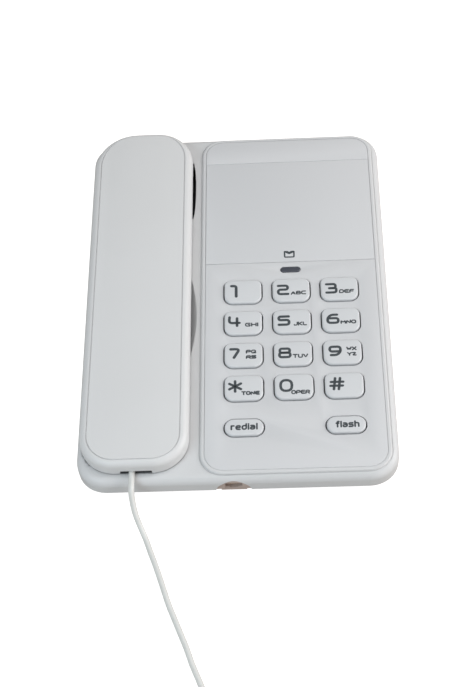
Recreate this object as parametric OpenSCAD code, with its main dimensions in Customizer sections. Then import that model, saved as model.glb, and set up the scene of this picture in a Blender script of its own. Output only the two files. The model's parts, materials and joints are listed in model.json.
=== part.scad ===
// Slim desk and wall telephone: sloping base, keypad, handset and curly cord.
// Millimetres. +Z is up, the feet stand on z = 0 and the origin is the centre of the footprint.
// "Deck" sizes are measured on the sloping top: x to the right, y to the back, z square to the top.

/* [Base] */
// Length of the sloping top
base_l = 204; // [200:0.5:212]
// Height of the top's front edge above the table
front_h = 17; // [17:0.25:22]
// Slope of the top in degrees
deck_tilt = 5; // [4.5:0.25:7]
// Radius of the base's corners in plan
corner_r = 14; // [12:0.5:16]
// Radius of the rounded top rim
rim_r = 4; // [3:0.25:4.5]
// Wall of the housing
wall = 2.4; // [2:0.1:2.6]
// Thickness of the top
deck_t = 2.4; // [2.2:0.1:2.6]
// Height of the seam between housing and bottom cover
seam_z = 8; // [7.5:0.25:8]
// Floor of the bottom cover
floor_t = 2.2; // [1.8:0.1:2.4]
// Height that the feet hold the cover off the table
foot_h = 2; // [1.5:0.1:2.2]
// Radius of a foot
foot_r = 6; // [5:0.25:7]

/* [Panel] */
// Width of the raised panel
panel_w = 89; // [84:0.5:96]
// From the base's right side to the raised panel
panel_side = 3.2; // [2.6:0.1:4]
// From the base's front edge to the raised panel
panel_front = 3; // [2.6:0.1:4]
// From the base's back edge to the raised panel
panel_back = 2.2; // [1.6:0.1:3]
// Height of the raised panel
panel_h = 1; // [0.8:0.1:1.2]
// Width of the panel's sloping border
panel_bevel = 1.9; // [1.6:0.1:2.2]
// Thickness of the face plate
plate_t = 1.6; // [1.5:0.05:1.7]
// Seam round the face plate
plate_gap = 0.2; // [0.15:0.05:0.4]
// From the panel's front edge to the name plate
name_from = 117.8; // [117:0.2:121]
// From the name plate to the panel's back edge
name_to = 16.6; // [12:0.2:20]
// Thickness of the name plate
name_t = 0.8; // [0.6:0.05:0.9]

/* [Keys] */
// Width of a key
key_w = 18.3; // [17:0.1:19.5]
// Length of a key
key_l = 13.5; // [12.5:0.1:14.5]
// Column pitch
key_px = 23.8; // [23.2:0.1:25]
// Row pitch
key_py = 18.4; // [18.2:0.1:18.8]
// Corner radius at the key's top edge
key_r_top = 3.1; // [2.5:0.1:4]
// Corner radius at the key's bottom edge
key_r_low = 4.3; // [3.5:0.1:5]
// Height of a key above the panel
key_up = 1.1; // [0.9:0.1:1.3]
// Key travel
key_travel = 1.2; // [1:0.1:1.3]
// Gap round a key
key_gap = 0.45; // [0.4:0.05:0.6]
// Length of the two function keys
pill_l = 8.7; // [8:0.1:10]
// From the panel's front edge to the function keys
pill_from = 23.8; // [22:0.1:25]
// From the panel's front edge to the lowest row of keys
row_from = 44.9; // [44:0.1:46]
// From the panel's front edge to the message lamp
lamp_from = 113.1; // [112.6:0.1:113.6]
// Length of the lamp lens
lamp_w = 9.9; // [8:0.1:12]
// Width of the lamp lens
lamp_l = 3.3; // [3:0.1:3.6]

/* [Handset] */
// Width of the handset
handset_w = 51; // [50:0.25:53]
// From the base's left side to the handset
handset_side = 1.8; // [1.2:0.1:2.5]
// Strip of deck between handset and panel
column_gap = 5; // [4.4:0.1:6]
// From the base's front edge to the handset
handset_near = 4.8; // [4.4:0.1:5.6]
// From the base's back edge to the handset
handset_far = 2.1; // [1.5:0.1:3]
// Corner radius of the handset in plan
handset_r = 17; // [14:0.5:19]
// Radius of the handset's rounded edge
handset_rim = 3.2; // [2.6:0.1:3.6]
// Height of the handset's face above the deck
face_up = 9.2; // [9:0.1:10.5]
// Running gap between handset and deck
handset_gap = 0.8; // [0.7:0.1:1.2]
// Wall of the handset's shells
shell_t = 2; // [1.8:0.05:2.2]
// Depth of the grip below the deck
grip_d = 7; // [6.5:0.1:7]
// Radius of the ear cap
ear_r = 19.3; // [18:0.1:19.4]
// Depth of the ear cap below the deck
ear_d = 13; // [12.5:0.1:13.5]
// From the handset's far end to the middle of the ear cap
ear_from = 32.9; // [31:0.1:35]
// Radius of the mouth cap
mouth_r = 17.5; // [16:0.1:18]
// Depth of the mouth cap below the deck
mouth_d = 9.4; // [9.2:0.1:9.5]
// From the handset's near end to the middle of the mouth cap
mouth_from = 32.2; // [31:0.1:36]

/* [Cradle] */
// How far the handset's edge covers the deck round the trough
lap = 3.8; // [3.4:0.1:4.2]
// Gap between grip and trough
trough_gap = 0.7; // [0.5:0.05:1]
// Gap between the handset's underside and the cradle's floors
seat_gap = 0.3; // [0.2:0.05:0.4]
// Wall of the cradle
cradle_t = 2; // [1.6:0.1:2.2]
// Width of the ear pocket's crescent beside the handset
crescent = 2; // [1.5:0.1:2.4]
// Width of the finger scoop beside the handset
scoop = 2.8; // [2.2:0.1:3.2]
// From the base's front edge to the middle of the finger scoop
scoop_from = 90.5; // [86:0.5:98]
// Travel of the hook switch
hook_travel = 4; // [3:0.25:4.5]

/* [Switches] */
// Travel of the slide switches
switch_travel = 4; // [3.5:0.25:4.5]
// Depth of the side switch below the deck
side_switch_down = 9; // [8.5:0.25:11]
// Depth of the back switch below the deck
back_switch_down = 16; // [13:0.25:18]

/* [Wall mount] */
// Distance between the keyholes
keyhole_gap = 83; // [80:0.5:86]
// Radius of the keyhole's round end
keyhole_r = 4.75; // [4.5:0.05:5]
// Width of the keyhole's slot
keyhole_slot = 4.8; // [4.4:0.1:5]

/* [Cord] */
// Thickness of the cord
cord_d = 2.8; // [2.6:0.1:3]
// Outer diameter of the curls
curl_d = 9.8; // [9:0.1:10.5]
// Distance from curl to curl
curl_pitch = 3.8; // [3.7:0.05:4]
// Number of curls
curls = 75; // [60:1:80]
// Radius of the ring in which the curly length lies
ring_r = 56; // [54:1:64]

/* [Hidden] */
$fn = 64;
FLAT = 0.01;          // overlap that joins shapes of one piece
TOUCH = 0.1;          // gap between pieces that rest on each other and move
SEAT = 0.05;          // gap between fixed pieces
HULL_FN = 40;         // fineness of the rounded mouldings

shell_white = [0.86, 0.87, 0.88];
plate_white = [0.82, 0.83, 0.85];
key_white = [0.84, 0.86, 0.87];
dark_slate = [0.3, 0.31, 0.35];
board_green = [0.2, 0.42, 0.28];
steel = [0.7, 0.71, 0.73];
rubber_grey = [0.35, 0.36, 0.38];
jack_black = [0.12, 0.12, 0.13];
jack_beige = [0.62, 0.54, 0.5];
cord_white = [0.85, 0.85, 0.84];
clear_grey = [0.8, 0.84, 0.86];
brass = [0.75, 0.6, 0.3];

// Deck frame
deck_z = front_h + base_l / 2 * sin(deck_tilt);
back_drop = (deck_z + base_l / 2 * sin(deck_tilt) - seam_z) / cos(deck_tilt);
front_reach = -(base_l / 2 - rim_r) * cos(deck_tilt) + rim_r * sin(deck_tilt) - rim_r;
back_reach = base_l / 2 * cos(deck_tilt) + back_drop * sin(deck_tilt);
deck_y = -(front_reach + back_reach) / 2;
skirt_l = base_l / cos(deck_tilt);
skirt_y = deck_y + back_reach - skirt_l / 2;
function deck_point(p) = [p.x, p.y * cos(deck_tilt) - p.z * sin(deck_tilt) + deck_y,
                          p.y * sin(deck_tilt) + p.z * cos(deck_tilt) + deck_z];
function deck_top(y) = deck_z + (y - deck_y) * tan(deck_tilt);   // height of the deck over a place on the table

// Columns of the deck
base_w = handset_side + handset_w + column_gap + panel_w + panel_side;
handset_x = -base_w / 2 + handset_side + handset_w / 2;
handset_l = base_l - handset_near - handset_far;
handset_y = -base_l / 2 + handset_near + handset_l / 2;
panel_l = base_l - panel_front - panel_back;
panel_x = base_w / 2 - panel_side - panel_w / 2;
panel_y = -base_l / 2 + panel_front + panel_l / 2;
panel_y0 = -base_l / 2 + panel_front;
panel_r = corner_r - panel_side;
panel_foot = 1.2;      // how far the raised panel reaches down into the deck
line_out = 0.25;       // fine line round the panel: outside and inside its foot, and its depth
line_in = 0.1;
line_d = 0.25;
plate_in = panel_bevel + 0.1;      // from the panel's edge to the face plate's
plate_w = panel_w - 2 * plate_in;
plate_l = panel_l - 2 * plate_in;
plate_r = panel_r - plate_in;
plate_z = panel_h - plate_t;
name_y0 = panel_y0 + name_from;
name_y1 = panel_y0 + panel_l - name_to;

// Keypad
row_y = panel_y0 + row_from;
pill_y = panel_y0 + pill_from;
lamp_y = panel_y0 + lamp_from;
key_top = panel_h + key_up;
flange_w = 1.2;        // the flange under each key's edge
flange_t = 0.8;
flange_z = plate_z - TOUCH - flange_t;
post_r = 2.6;
post_l = 1.5;
post_z = flange_z - post_l;
dome_h = 2.6;
dome_r = 3;
mat_t = 0.9;
mat_z = post_z - SEAT - dome_h - mat_t;
board_t = 1.6;
board_z = mat_z - board_t;
window_side = 2;       // window under the face plate, past the keys and the lamp
window_near = 3.6;
window_far = 2.2;
window_w = 2 * key_px + key_w + 2 * window_side;
window_y0 = pill_y - pill_l / 2 - window_near;
window_y1 = lamp_y + lamp_l / 2 + window_far;
board_lap = 4.6;
board_near_lap = 1.8;
board_w = window_w + 2 * board_lap;
board_y0 = window_y0 - board_near_lap;
board_y1 = window_y1 + board_lap;
board_boss_r = 2.4;
board_boss_in = [14, 10];  // from the board's near and far edges to its screws
board_bosses = [for (s = [-1, 1], y = [board_y0 + board_boss_in[0], board_y1 - board_boss_in[1]])
                  [panel_x + s * (window_w + board_lap) / 2, y]];
digit_keys = [["key_1", -1, 3], ["key_2", 0, 3], ["key_3", 1, 3], ["key_4", -1, 2], ["key_5", 0, 2],
              ["key_6", 1, 2], ["key_7", -1, 1], ["key_8", 0, 1], ["key_9", 1, 1],
              ["key_star", -1, 0], ["key_0", 0, 0], ["key_hash", 1, 0]];
pill_keys = [["key_redial", -1], ["key_flash", 1]];
function key_at(column, row) = [panel_x + column * key_px, row_y + row * key_py];
function pill_at(column) = [panel_x + column * key_px, pill_y];
all_keys = concat([for (k = digit_keys) key_at(k[1], k[2])], [for (k = pill_keys) pill_at(k[1])]);

// Handset and cradle
part_z = handset_gap + 1.2;
groove_w = 0.45;       // line round the handset's flat face: from the sides, the near end and the far end
groove_d = 0.35;
groove_side = 3.5;
groove_near = 2.9;
groove_far = 0.6;
groove_r_near = 13.5;
groove_r_far = 19;
end_play = 0.8;        // what the trough and the grip are shorter than their widths ask
grip_play = 0.6;
trough_w = handset_w - 2 * lap;
trough_l = handset_l - 2 * lap - end_play;
trough_r = handset_r - lap;
trough_d = grip_d + seat_gap;
grip_w = trough_w - 2 * trough_gap;
grip_l = trough_l - 2 * trough_gap - grip_play;
grip_r = trough_r - trough_gap;
grip_draft = 3;        // how far the grip's sides draw in
ear_y = handset_l / 2 - ear_from;
mouth_y = -handset_l / 2 + mouth_from;
ear_hole_r = 1.1;
ear_hole_ring = 5;
mouth_hole_r = 0.8;
mouth_hole_gap = 3;
pocket_gap = 1;
crescent_r = 92;
crescent_half = 21;
scoop_y = -base_l / 2 + scoop_from;
scoop_r = 84;
scoop_half = 25;
scoop_slope = 6;
hook_x = handset_x;
hook_y = handset_y + 12.5;
hook_r = 4;
hook_gap = 0.3;
hook_top = -grip_d - TOUCH;
hook_collar = -trough_d - cradle_t - 0.2 - hook_travel;
collar_t = 1.2;
spring_l = 4;
tab_y = handset_y + ear_y - ear_r - 3.6;
tab_w = 10;
tab_t = 1.6;
tab_d = 4;
slot_x = 1.3;          // cord slot of the handset, from the handset's middle
slot_w = 14.8;
slot_top = 3.1;
slot_low = -2.9;
cord_x = -0.7;
cord_up = 1.5;         // the cord's axis above the deck
jack_w = 10.4;
jack_y = -grip_l / 2 + 0.4;
jack_l = 12.5;
jack_h = 8.4;
plug_w = 7.6;
plug_h = 6;
plug_l = 11.4;
plug_out = 0.9;        // what shows of the plug outside its jack
receiver_r = 15.5;
receiver_h = 6.8;
mic_r = 4.85;
mic_h = 6.4;
weight_size = [20, 44, 6.5];
handset_screw_gap = 60;
handset_screw_in = 7.8;        // from the earpiece's near edge to the far screw
handset_screw_y = [for (n = [1, 0]) ear_y - ear_r - handset_screw_in - n * handset_screw_gap];
handset_pilot_r = 1.2;
handset_screw_l = 9.5;
screw_head_r = 2.6;

// Inside the base
cover_inset = 1;
cover_draft = 3.5;
cover_wall = 1.7;
floor_z = foot_h + floor_t;
foot_sink = 0.6;
foot_in = 19;
screw_in = 12;         // from the base's edges to the screws at the right
cradle_screw_y = [-36, 34];
screw_places = concat(
  [for (s = [-1, 1]) [base_w / 2 - screw_in, skirt_y + s * (skirt_l / 2 - screw_in), 0]],
  [for (y = cradle_screw_y) [handset_x, deck_y + handset_y + y, trough_d]]);
screw_l = 9.5;
boss_r = 3.4;
pilot_r = 1.25;
screw_r = 1.2;
board_screw_r = 2.3;
board_screw_h = 1.4;
board_screw_l = 6.2;
counterbore_r = 3;
counterbore_h = 2.6;
notch_x = -1.9;        // arched notch over the base's handset jack
notch_w = 16.4;
notch_top = 7.3;       // height of the notch above the seam
notch_r = 8.3;         // radius of its arch
notch_gap = 0.15;
socket_w = 12;
socket_in = 0.4;        // from the front wall's inner face to the socket
face_in = 0.5;          // how far the socket's face lies in the arch
socket_l = 13;
socket_y = skirt_y - skirt_l / 2 + wall + socket_in;
socket_h = 9.2;
line_x = base_w / 2 - 45;
line_w = 13;
line_l = 12;
line_h = 13.2;
line_window = [10.8, 8.4];
line_mouth = [9.9, 6.8, 4.6];      // width, height and height off the floor of a socket's mouth
line_latch = 6.4;
handset_mouth = [8, 6.2, 2.2];
handset_latch = 4;
window_lap = 1.3;      // between the line jack and the back wall
line_y = skirt_y + skirt_l / 2 - wall - window_lap - line_l;
ringer_in = 31;        // from the base's right side to the ringer and to the weight
ringer_place = [base_w / 2 - ringer_in, 52];
sound_slots = 5;
sound_slot = [1.6, 14];
sound_pitch = 4;
ringer_r = 15;
ringer_h = 9;
weight_in = 35;
weight_place = [base_w / 2 - weight_in, -32];
ballast = [52, 60, 4];
side_switch_y = 40;
back_switch_x = -4;
knob_l = 5;            // a slide switch's knob, its stem and the pocket round it
knob_h = 4;
knob_gap = 1;
stem_l = 3;
stem_h = 2;
switch_pocket = 1.6;
keyhole_len = 8;

// Cord: the curly length is one helix round a ring that lies on the table
curl_r = (curl_d - cord_d) / 2;
ring_c = [-12, -265];
ring_start = 75;
rings_per_curl = 8;
wire_sides = 6;
ring_turn = curls * curl_pitch / ring_r * 180 / PI;
function ring_dir(a) = [sin(a), -cos(a), 0];
function ring_place(a) = [ring_c.x + ring_r * cos(a), ring_c.y + ring_r * sin(a), cord_d / 2];
coil_in = ring_place(ring_start) - cord_d * ring_dir(ring_start);
coil_out = ring_place(ring_start - ring_turn) + cord_d * ring_dir(ring_start - ring_turn);
exit_x = handset_x + cord_x;
exit_y = handset_y + jack_y - plug_out;
cord_z = cord_d / 2;
leader_route = concat(
  [for (s = [0, 5, 10, 13.5]) deck_point([exit_x, exit_y - s, cord_up])],
  [[-48.1, -110.5, 14], [-47.4, -114.5, 9.5], [-46, -118.5, 5], [-44, -123.5, 2.2], [-42, -129.5, 1.4],
   [-39.5, -136, 1.4], [-37, -143, 1.4], [-34.5, -150, 1.4], [-32, -157, 1.4], [-29, -164, 1.4],
   [-26, -171, 1.4], [-23, -178, 1.4], [-20.5, -185, 1.4], [-17.5, -192, 1.4], [-14.5, -199, 1.4],
   [-10.5, -205, 1.4]],
  [coil_in - 4 * ring_dir(ring_start), coil_in]);
tail_route = concat(
  [coil_out, coil_out + 3 * ring_dir(ring_start - ring_turn)],
  [[-50, -224, 1.4], [-44, -222.5, 1.4], [-37.5, -224.5, 1.4], [-32.5, -230, 1.4], [-30.5, -237, 1.4],
   [-30, -244, 1.4], [-29.5, -251, 1.6], [-29, -258, 2.4], [-29, -263, 3], [-29, -267, 3]]);

// A rounded rectangle about the origin
module rounded(w, l, r) {
  square([w - 2 * r, l], center = true);
  square([w, l - 2 * r], center = true);
  for (x = [-1, 1], y = [-1, 1]) translate([x * (w / 2 - r), y * (l / 2 - r)]) circle(r);
}

module slab(w, l, r, z0, z1) {
  translate([0, 0, z0]) linear_extrude(z1 - z0) rounded(w, l, r);
}

// A block with a rounded top rim, its top at z = 0
module soft_block(w, l, r, rim, depth) {
  hull() for (x = [-1, 1], y = [-1, 1]) translate([x * (w / 2 - r), y * (l / 2 - r), 0]) {
    translate([0, 0, -rim]) rotate_extrude($fn = HULL_FN) translate([r - rim, 0]) circle(rim, $fn = HULL_FN);
    translate([0, 0, -depth]) cylinder(r = r, h = 1, $fn = HULL_FN);
  }
}

module box(x0, x1, y0, y1, z0, z1) {
  translate([x0, y0, z0]) cube([x1 - x0, y1 - y0, z1 - z0]);
}

module on_deck() {
  translate([0, deck_y, deck_z]) rotate([deck_tilt, 0, 0]) children();
}

module on_handset() {
  on_deck() translate([handset_x, handset_y, 0]) children();
}

// Outline of a key: its lower corners are rounder than its upper ones
module key_outline(w, l, r_top, r_low) {
  square([w, l - r_top - r_low], center = true);
  translate([-w / 2, -l / 2 + r_low]) square([w, l - r_top - r_low]);
  translate([-w / 2 + r_low, -l / 2]) square([w - 2 * r_low, l / 2]);
  translate([-w / 2 + r_top, 0]) square([w - 2 * r_top, l / 2]);
  for (s = [-1, 1]) {
    translate([s * (w / 2 - r_low), -l / 2 + r_low]) circle(r_low);
    translate([s * (w / 2 - r_top), l / 2 - r_top]) circle(r_top);
  }
}

// The hollow that the handset lies in, grown by g for the cradle's own walls
module cradle(g) {
  top = g > 0 ? -deck_t / 2 : 3;
  edge = handset_x + handset_w / 2;
  translate([handset_x, handset_y, 0]) {
    slab(trough_w + 2 * g, trough_l + 2 * g, trough_r + g, -trough_d - g, top);
    translate([0, ear_y, -ear_d - seat_gap - g])
      cylinder(r = ear_r + pocket_gap + g, h = ear_d + seat_gap + g + top);
    translate([0, mouth_y, -mouth_d - seat_gap - g])
      cylinder(r = mouth_r + pocket_gap + g, h = mouth_d + seat_gap + g + top);
  }
  intersection() {
    translate([edge + crescent - crescent_r, handset_y + ear_y, -ear_d - seat_gap - g])
      cylinder(r = crescent_r + g, h = ear_d + seat_gap + g + top, $fn = 180);
    box(handset_x, edge + crescent + g + 1, handset_y + ear_y - crescent_half - g,
        handset_y + ear_y + crescent_half + g, -ear_d - seat_gap - g, top);
  }
  intersection() {
    translate([edge + scoop - scoop_r, scoop_y, -trough_d - g])
      cylinder(r1 = scoop_r - scoop_slope + g, r2 = scoop_r + g + (top + g) * scoop_slope / trough_d,
               h = trough_d + g + top, $fn = 180);
    box(handset_x, edge + scoop + g + 4, scoop_y - scoop_half - g, scoop_y + scoop_half + g,
        -trough_d - g, top);
  }
}

module panel() {
  hull() {
    slab(panel_w, panel_l, panel_r, -panel_foot, 0, $fn = HULL_FN);
    slab(panel_w - 2 * panel_bevel, panel_l - 2 * panel_bevel, panel_r - panel_bevel,
         panel_h - FLAT, panel_h, $fn = HULL_FN);
  }
}

// The fine line in the deck round the foot of the raised panel
module panel_line() {
  difference() {
    slab(panel_w + 2 * line_out, panel_l + 2 * line_out, panel_r + line_out, -line_d, panel_h);
    slab(panel_w - 2 * line_in, panel_l - 2 * line_in, panel_r - line_in, -1, panel_h + 1);
  }
}

module base_top_housing() {
  color(shell_white) difference() {
    union() {
      on_deck() {
        difference() {
          soft_block(base_w, base_l, corner_r, rim_r, back_drop + 8);
          slab(base_w - 2 * wall, base_l - 2 * wall, corner_r - wall, -2 * back_drop, -deck_t);
        }
        translate([panel_x, panel_y, 0]) panel();
        cradle(cradle_t);
        for (b = board_bosses) translate([b.x, b.y, board_z + board_t])
          cylinder(r = board_boss_r, h = -deck_t / 2 - board_z - board_t);
        translate([hook_x, tab_y, -trough_d - tab_d - cradle_t])
          linear_extrude(tab_d + cradle_t) square([tab_w + 4, tab_t + 4], center = true);
      }
      for (s = screw_places) translate([s.x, s.y, seam_z])
        cylinder(r = boss_r, h = deck_top(s.y) - s[2] - seam_z - deck_t / 2);
    }
    on_deck() {
      cradle(0);
      translate([panel_x, panel_y, 0]) panel_line();
      translate([panel_x, panel_y, 0])
        slab(plate_w + 2 * plate_gap, plate_l + 2 * plate_gap, plate_r + plate_gap, plate_z, panel_h + 1);
      box(panel_x - window_w / 2, panel_x + window_w / 2, window_y0, window_y1, -deck_t - 1, panel_h);
      for (b = board_bosses) translate([b.x, b.y, board_z + board_t - 1]) cylinder(r = pilot_r, h = 5);
      translate([hook_x, hook_y, -trough_d - cradle_t - 1]) cylinder(r = hook_r + hook_gap, h = cradle_t + 2);
      translate([hook_x, tab_y, -trough_d - tab_d])
        linear_extrude(tab_d + 1) square([tab_w + 2 * TOUCH, tab_t + 2 * TOUCH], center = true);
      translate([base_w / 2, side_switch_y, -side_switch_down]) switch_hollow();
      translate([back_switch_x, base_l / 2, -back_switch_down]) rotate(90) switch_hollow();
    }
    translate([-base_w, -base_l, -base_l]) cube([2 * base_w, 2 * base_l, base_l + seam_z]);
    for (s = screw_places) translate([s.x, s.y, seam_z - 1]) cylinder(r = pilot_r, h = 8);
    front_notch();
    line_window();
  }
}

// Arch over the handset jack in the front wall, seen from the front; z = 0 is the seam
module notch_arch(gap, low) {
  intersection() {
    translate([0, notch_top - notch_r]) circle(notch_r - gap);
    translate([gap - notch_w / 2, low]) square([notch_w - 2 * gap, notch_top - low + 2]);
  }
}

module front_notch() {
  translate([notch_x, skirt_y - skirt_l / 2 + wall + 2, seam_z]) rotate([90, 0, 0])
    linear_extrude(wall + 6) notch_arch(0, -1);
}

module line_window() {
  box(line_x - line_window.x / 2, line_x + line_window.x / 2, line_y + line_l - 1, line_y + line_l + wall + 6,
      seam_z, seam_z + line_window.y);
}

module base_bottom_cover() {
  color(shell_white) difference() {
    union() {
      difference() {
        translate([0, skirt_y, 0]) hull() {
          slab(base_w - 2 * cover_inset, skirt_l - 2 * cover_inset, corner_r - cover_inset,
               seam_z - 1, seam_z, $fn = HULL_FN);
          slab(base_w - 2 * (cover_inset + cover_draft), skirt_l - 2 * (cover_inset + cover_draft),
               corner_r - cover_inset - cover_draft, foot_h, foot_h + FLAT, $fn = HULL_FN);
        }
        translate([0, skirt_y, 0])
          slab(base_w - 2 * (cover_inset + cover_draft + cover_wall),
               skirt_l - 2 * (cover_inset + cover_draft + cover_wall),
               corner_r - cover_inset - cover_draft - cover_wall, floor_z, seam_z + 1);
      }
      for (s = screw_places) translate([s.x, s.y, foot_h + FLAT]) cylinder(r = boss_r + 1, h = seam_z - foot_h - FLAT);
    }
    for (s = screw_places) translate([s.x, s.y, 0]) {
      cylinder(r = screw_r + 0.3, h = seam_z + 1);
      cylinder(r = counterbore_r, h = foot_h + counterbore_h);
    }
    for (p = foot_places()) translate([p.x, p.y, 0]) cylinder(r = foot_r + SEAT, h = foot_h + foot_sink);
    for (s = [-1, 1]) translate([0, s * keyhole_gap / 2, 0]) keyhole();
    for (i = [0:sound_slots - 1])
      translate([ringer_place.x + (i - (sound_slots - 1) / 2) * sound_pitch, ringer_place.y, 0])
        slab(sound_slot.x, sound_slot.y, sound_slot.x / 2 - FLAT, 0, floor_z + 1);
    box(notch_x - notch_w / 2, notch_x + notch_w / 2, -base_l, socket_y + socket_l + 0.3, floor_z, seam_z + 1);
    box(line_x - line_w / 2 - 0.3, line_x + line_w / 2 + 0.3, line_y - 0.3, line_y + line_l + 0.3,
        floor_z, seam_z + 1);
  }
}

function foot_places() = [for (x = [-1, 1], y = [-1, 1])
  [x * (base_w / 2 - foot_in), skirt_y + y * (skirt_l / 2 - foot_in)]];

module keyhole() {
  cylinder(r = keyhole_r, h = floor_z + 1);
  translate([-keyhole_slot / 2, 0, 0]) cube([keyhole_slot, keyhole_len, floor_z + 1]);
  translate([0, keyhole_len, 0]) cylinder(r = keyhole_slot / 2, h = floor_z + 1);
}

module rubber_feet() {
  color(rubber_grey) for (p = foot_places()) translate([p.x, p.y, 0]) {
    cylinder(r = foot_r - 0.6, h = 0.6);
    translate([0, 0, 0.6 - FLAT]) cylinder(r = foot_r, h = foot_h + foot_sink - 0.6 + FLAT);
  }
}

// A pan-head screw, its head at z = 0 and its shank upwards
module screw(head_r, head_h, shank_r, length) {
  difference() {
    union() {
      cylinder(r = head_r, h = head_h);
      cylinder(r = shank_r, h = length);
    }
    for (a = [0, 90]) rotate(a) translate([-head_r * 0.6, -0.35, -1]) cube([head_r * 1.2, 0.7, 1.9]);
  }
}

module housing_screws() {
  color(steel) for (s = screw_places) translate([s.x, s.y, foot_h + counterbore_h - 1.9])
    screw(counterbore_r - 0.35, 1.9, screw_r, screw_l);
}

module ballast_weight() {
  color(steel) translate([weight_place.x, weight_place.y, 0])
    slab(ballast.x, ballast.y, 4, floor_z, floor_z + ballast.z);
}

module keypad_faceplate() {
  color(plate_white) on_deck() difference() {
    translate([panel_x, panel_y, 0]) slab(plate_w, plate_l, plate_r, plate_z, panel_h);
    box(panel_x - panel_w, panel_x + panel_w, name_y0, name_y1, panel_h - name_t, panel_h + 1);
    for (k = digit_keys) translate(key_at(k[1], k[2])) translate([0, 0, plate_z - 1]) linear_extrude(plate_t + 2)
      key_outline(key_w + 2 * key_gap, key_l + 2 * key_gap, key_r_top + key_gap, key_r_low + key_gap);
    for (k = pill_keys) translate(pill_at(k[1])) translate([0, 0, plate_z - 1]) linear_extrude(plate_t + 2)
      rounded(key_w + 2 * key_gap, pill_l + 2 * key_gap, pill_l / 2 + key_gap - FLAT);
    translate([panel_x, lamp_y, plate_z - 1]) linear_extrude(plate_t + 2)
      rounded(lamp_w + 2 * SEAT, lamp_l + 2 * SEAT, lamp_l / 2 + SEAT - FLAT);
  }
}

module name_plate() {
  seam = 0.15;
  color(plate_white) on_deck()
    box(panel_x - plate_w / 2 + seam / 2, panel_x + plate_w / 2 - seam / 2, name_y0 + seam, name_y1 - seam,
        panel_h - name_t, panel_h);
}

module lamp_lens() {
  color(dark_slate) on_deck() translate([panel_x, lamp_y, 0]) {
    slab(lamp_w, lamp_l, lamp_l / 2 - FLAT, plate_z - FLAT, panel_h + 0.25);
    slab(lamp_w + 2, lamp_l + 2, lamp_l / 2 + 1 - FLAT, plate_z - 0.8, plate_z);
  }
}

module message_led() {
  color("red") on_deck() translate([panel_x, lamp_y, board_z + board_t]) {
    cylinder(r = 1.5, h = plate_z - 1 - board_z - board_t);
    cylinder(r = 1.9, h = 1);
  }
}

module keypad_mat() {
  color(rubber_grey) on_deck() {
    translate([panel_x, (window_y0 + key_at(0, 3).y + key_l / 2 + 1) / 2, 0])
      slab(window_w - 1.6, key_at(0, 3).y + key_l / 2 + 1 - window_y0 - 0.8, 3, mat_z, mat_z + mat_t);
    for (k = all_keys) translate([k.x, k.y, mat_z + mat_t - FLAT])
      cylinder(r1 = dome_r + 2, r2 = dome_r, h = dome_h + FLAT);
  }
}

module main_circuit_board() {
  chip = [12, 20, 2.4];
  color(board_green) on_deck() {
    difference() {
      box(panel_x - board_w / 2, panel_x + board_w / 2, board_y0, board_y1, board_z, board_z + board_t);
      for (b = board_bosses) translate([b.x, b.y, board_z - 1]) cylinder(r = 1.5, h = board_t + 2);
    }
    translate([panel_x + 6, row_y + 2 * key_py, board_z - chip.z + FLAT])
      linear_extrude(chip.z) square([chip.x, chip.y], center = true);
    for (p = [[-16, 10], [-18, 26], [22, 22], [22, 34]])
      translate([panel_x + p.x, row_y + p.y, board_z - 5]) cylinder(r = 2.5, h = 5 + FLAT);
    for (p = [[-10, 44], [-4, 44], [2, 44]])
      translate([panel_x + p.x, row_y + p.y, board_z - 1.8 + FLAT]) linear_extrude(1.8) square([2.4, 6], center = true);
  }
}

module board_screws() {
  color(steel) on_deck() for (b = board_bosses) translate([b.x, b.y, board_z - board_screw_h])
    screw(board_screw_r, board_screw_h, pilot_r - 0.1, board_screw_l);
}

module ringer() {
  color(jack_black) translate([ringer_place.x, ringer_place.y, floor_z]) difference() {
    union() {
      cylinder(r = ringer_r, h = ringer_h - 1);
      cylinder(r = ringer_r - 1, h = ringer_h);
    }
    translate([0, 0, -1]) cylinder(r = ringer_r - 2.5, h = 2.2);
    translate([0, 0, ringer_h - 1]) cylinder(r = 2, h = 2);
  }
}

// A modular socket, its mouth towards -y at y = 0
module socket(w, l, h, mouth, latch_w) {
  difference() {
    translate([-w / 2, 0, 0]) cube([w, l, h]);
    translate([-mouth.x / 2, -1, mouth.z]) cube([mouth.x, l, mouth.y]);
    translate([-latch_w / 2, -1, mouth.z - 1]) cube([latch_w, l, 2]);
  }
}

module line_jack() {
  color(jack_black) translate([line_x, line_y + line_l, floor_z]) rotate(180)
    socket(line_w, line_l, line_h, line_mouth, line_latch);
}

// The socket has a face that fills the arch
module base_handset_jack() {
  color(jack_beige) {
    translate([notch_x, socket_y, floor_z]) socket(socket_w, socket_l, socket_h, handset_mouth, handset_latch);
    difference() {
      translate([notch_x, socket_y + FLAT, seam_z]) rotate([90, 0, 0])
        linear_extrude(wall + socket_in + FLAT - face_in) notch_arch(notch_gap, 0);
      translate([notch_x - handset_mouth.x / 2, socket_y - wall - 1, floor_z + handset_mouth.z])
        cube([handset_mouth.x, wall + 2, handset_mouth.y]);
    }
  }
}

// Pocket and slot of a slide switch in a wall that faces +x; y is the way that it slides
module switch_hollow() {
  half = (knob_l + switch_travel) / 2 + knob_gap;
  box(-switch_pocket, 1, -half, half, -knob_h / 2 - 1, knob_h / 2 + 1);
  box(-wall - 1, 1, -half + 1, half - 1, -stem_h / 2 - TOUCH, stem_h / 2 + TOUCH);
}

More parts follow.
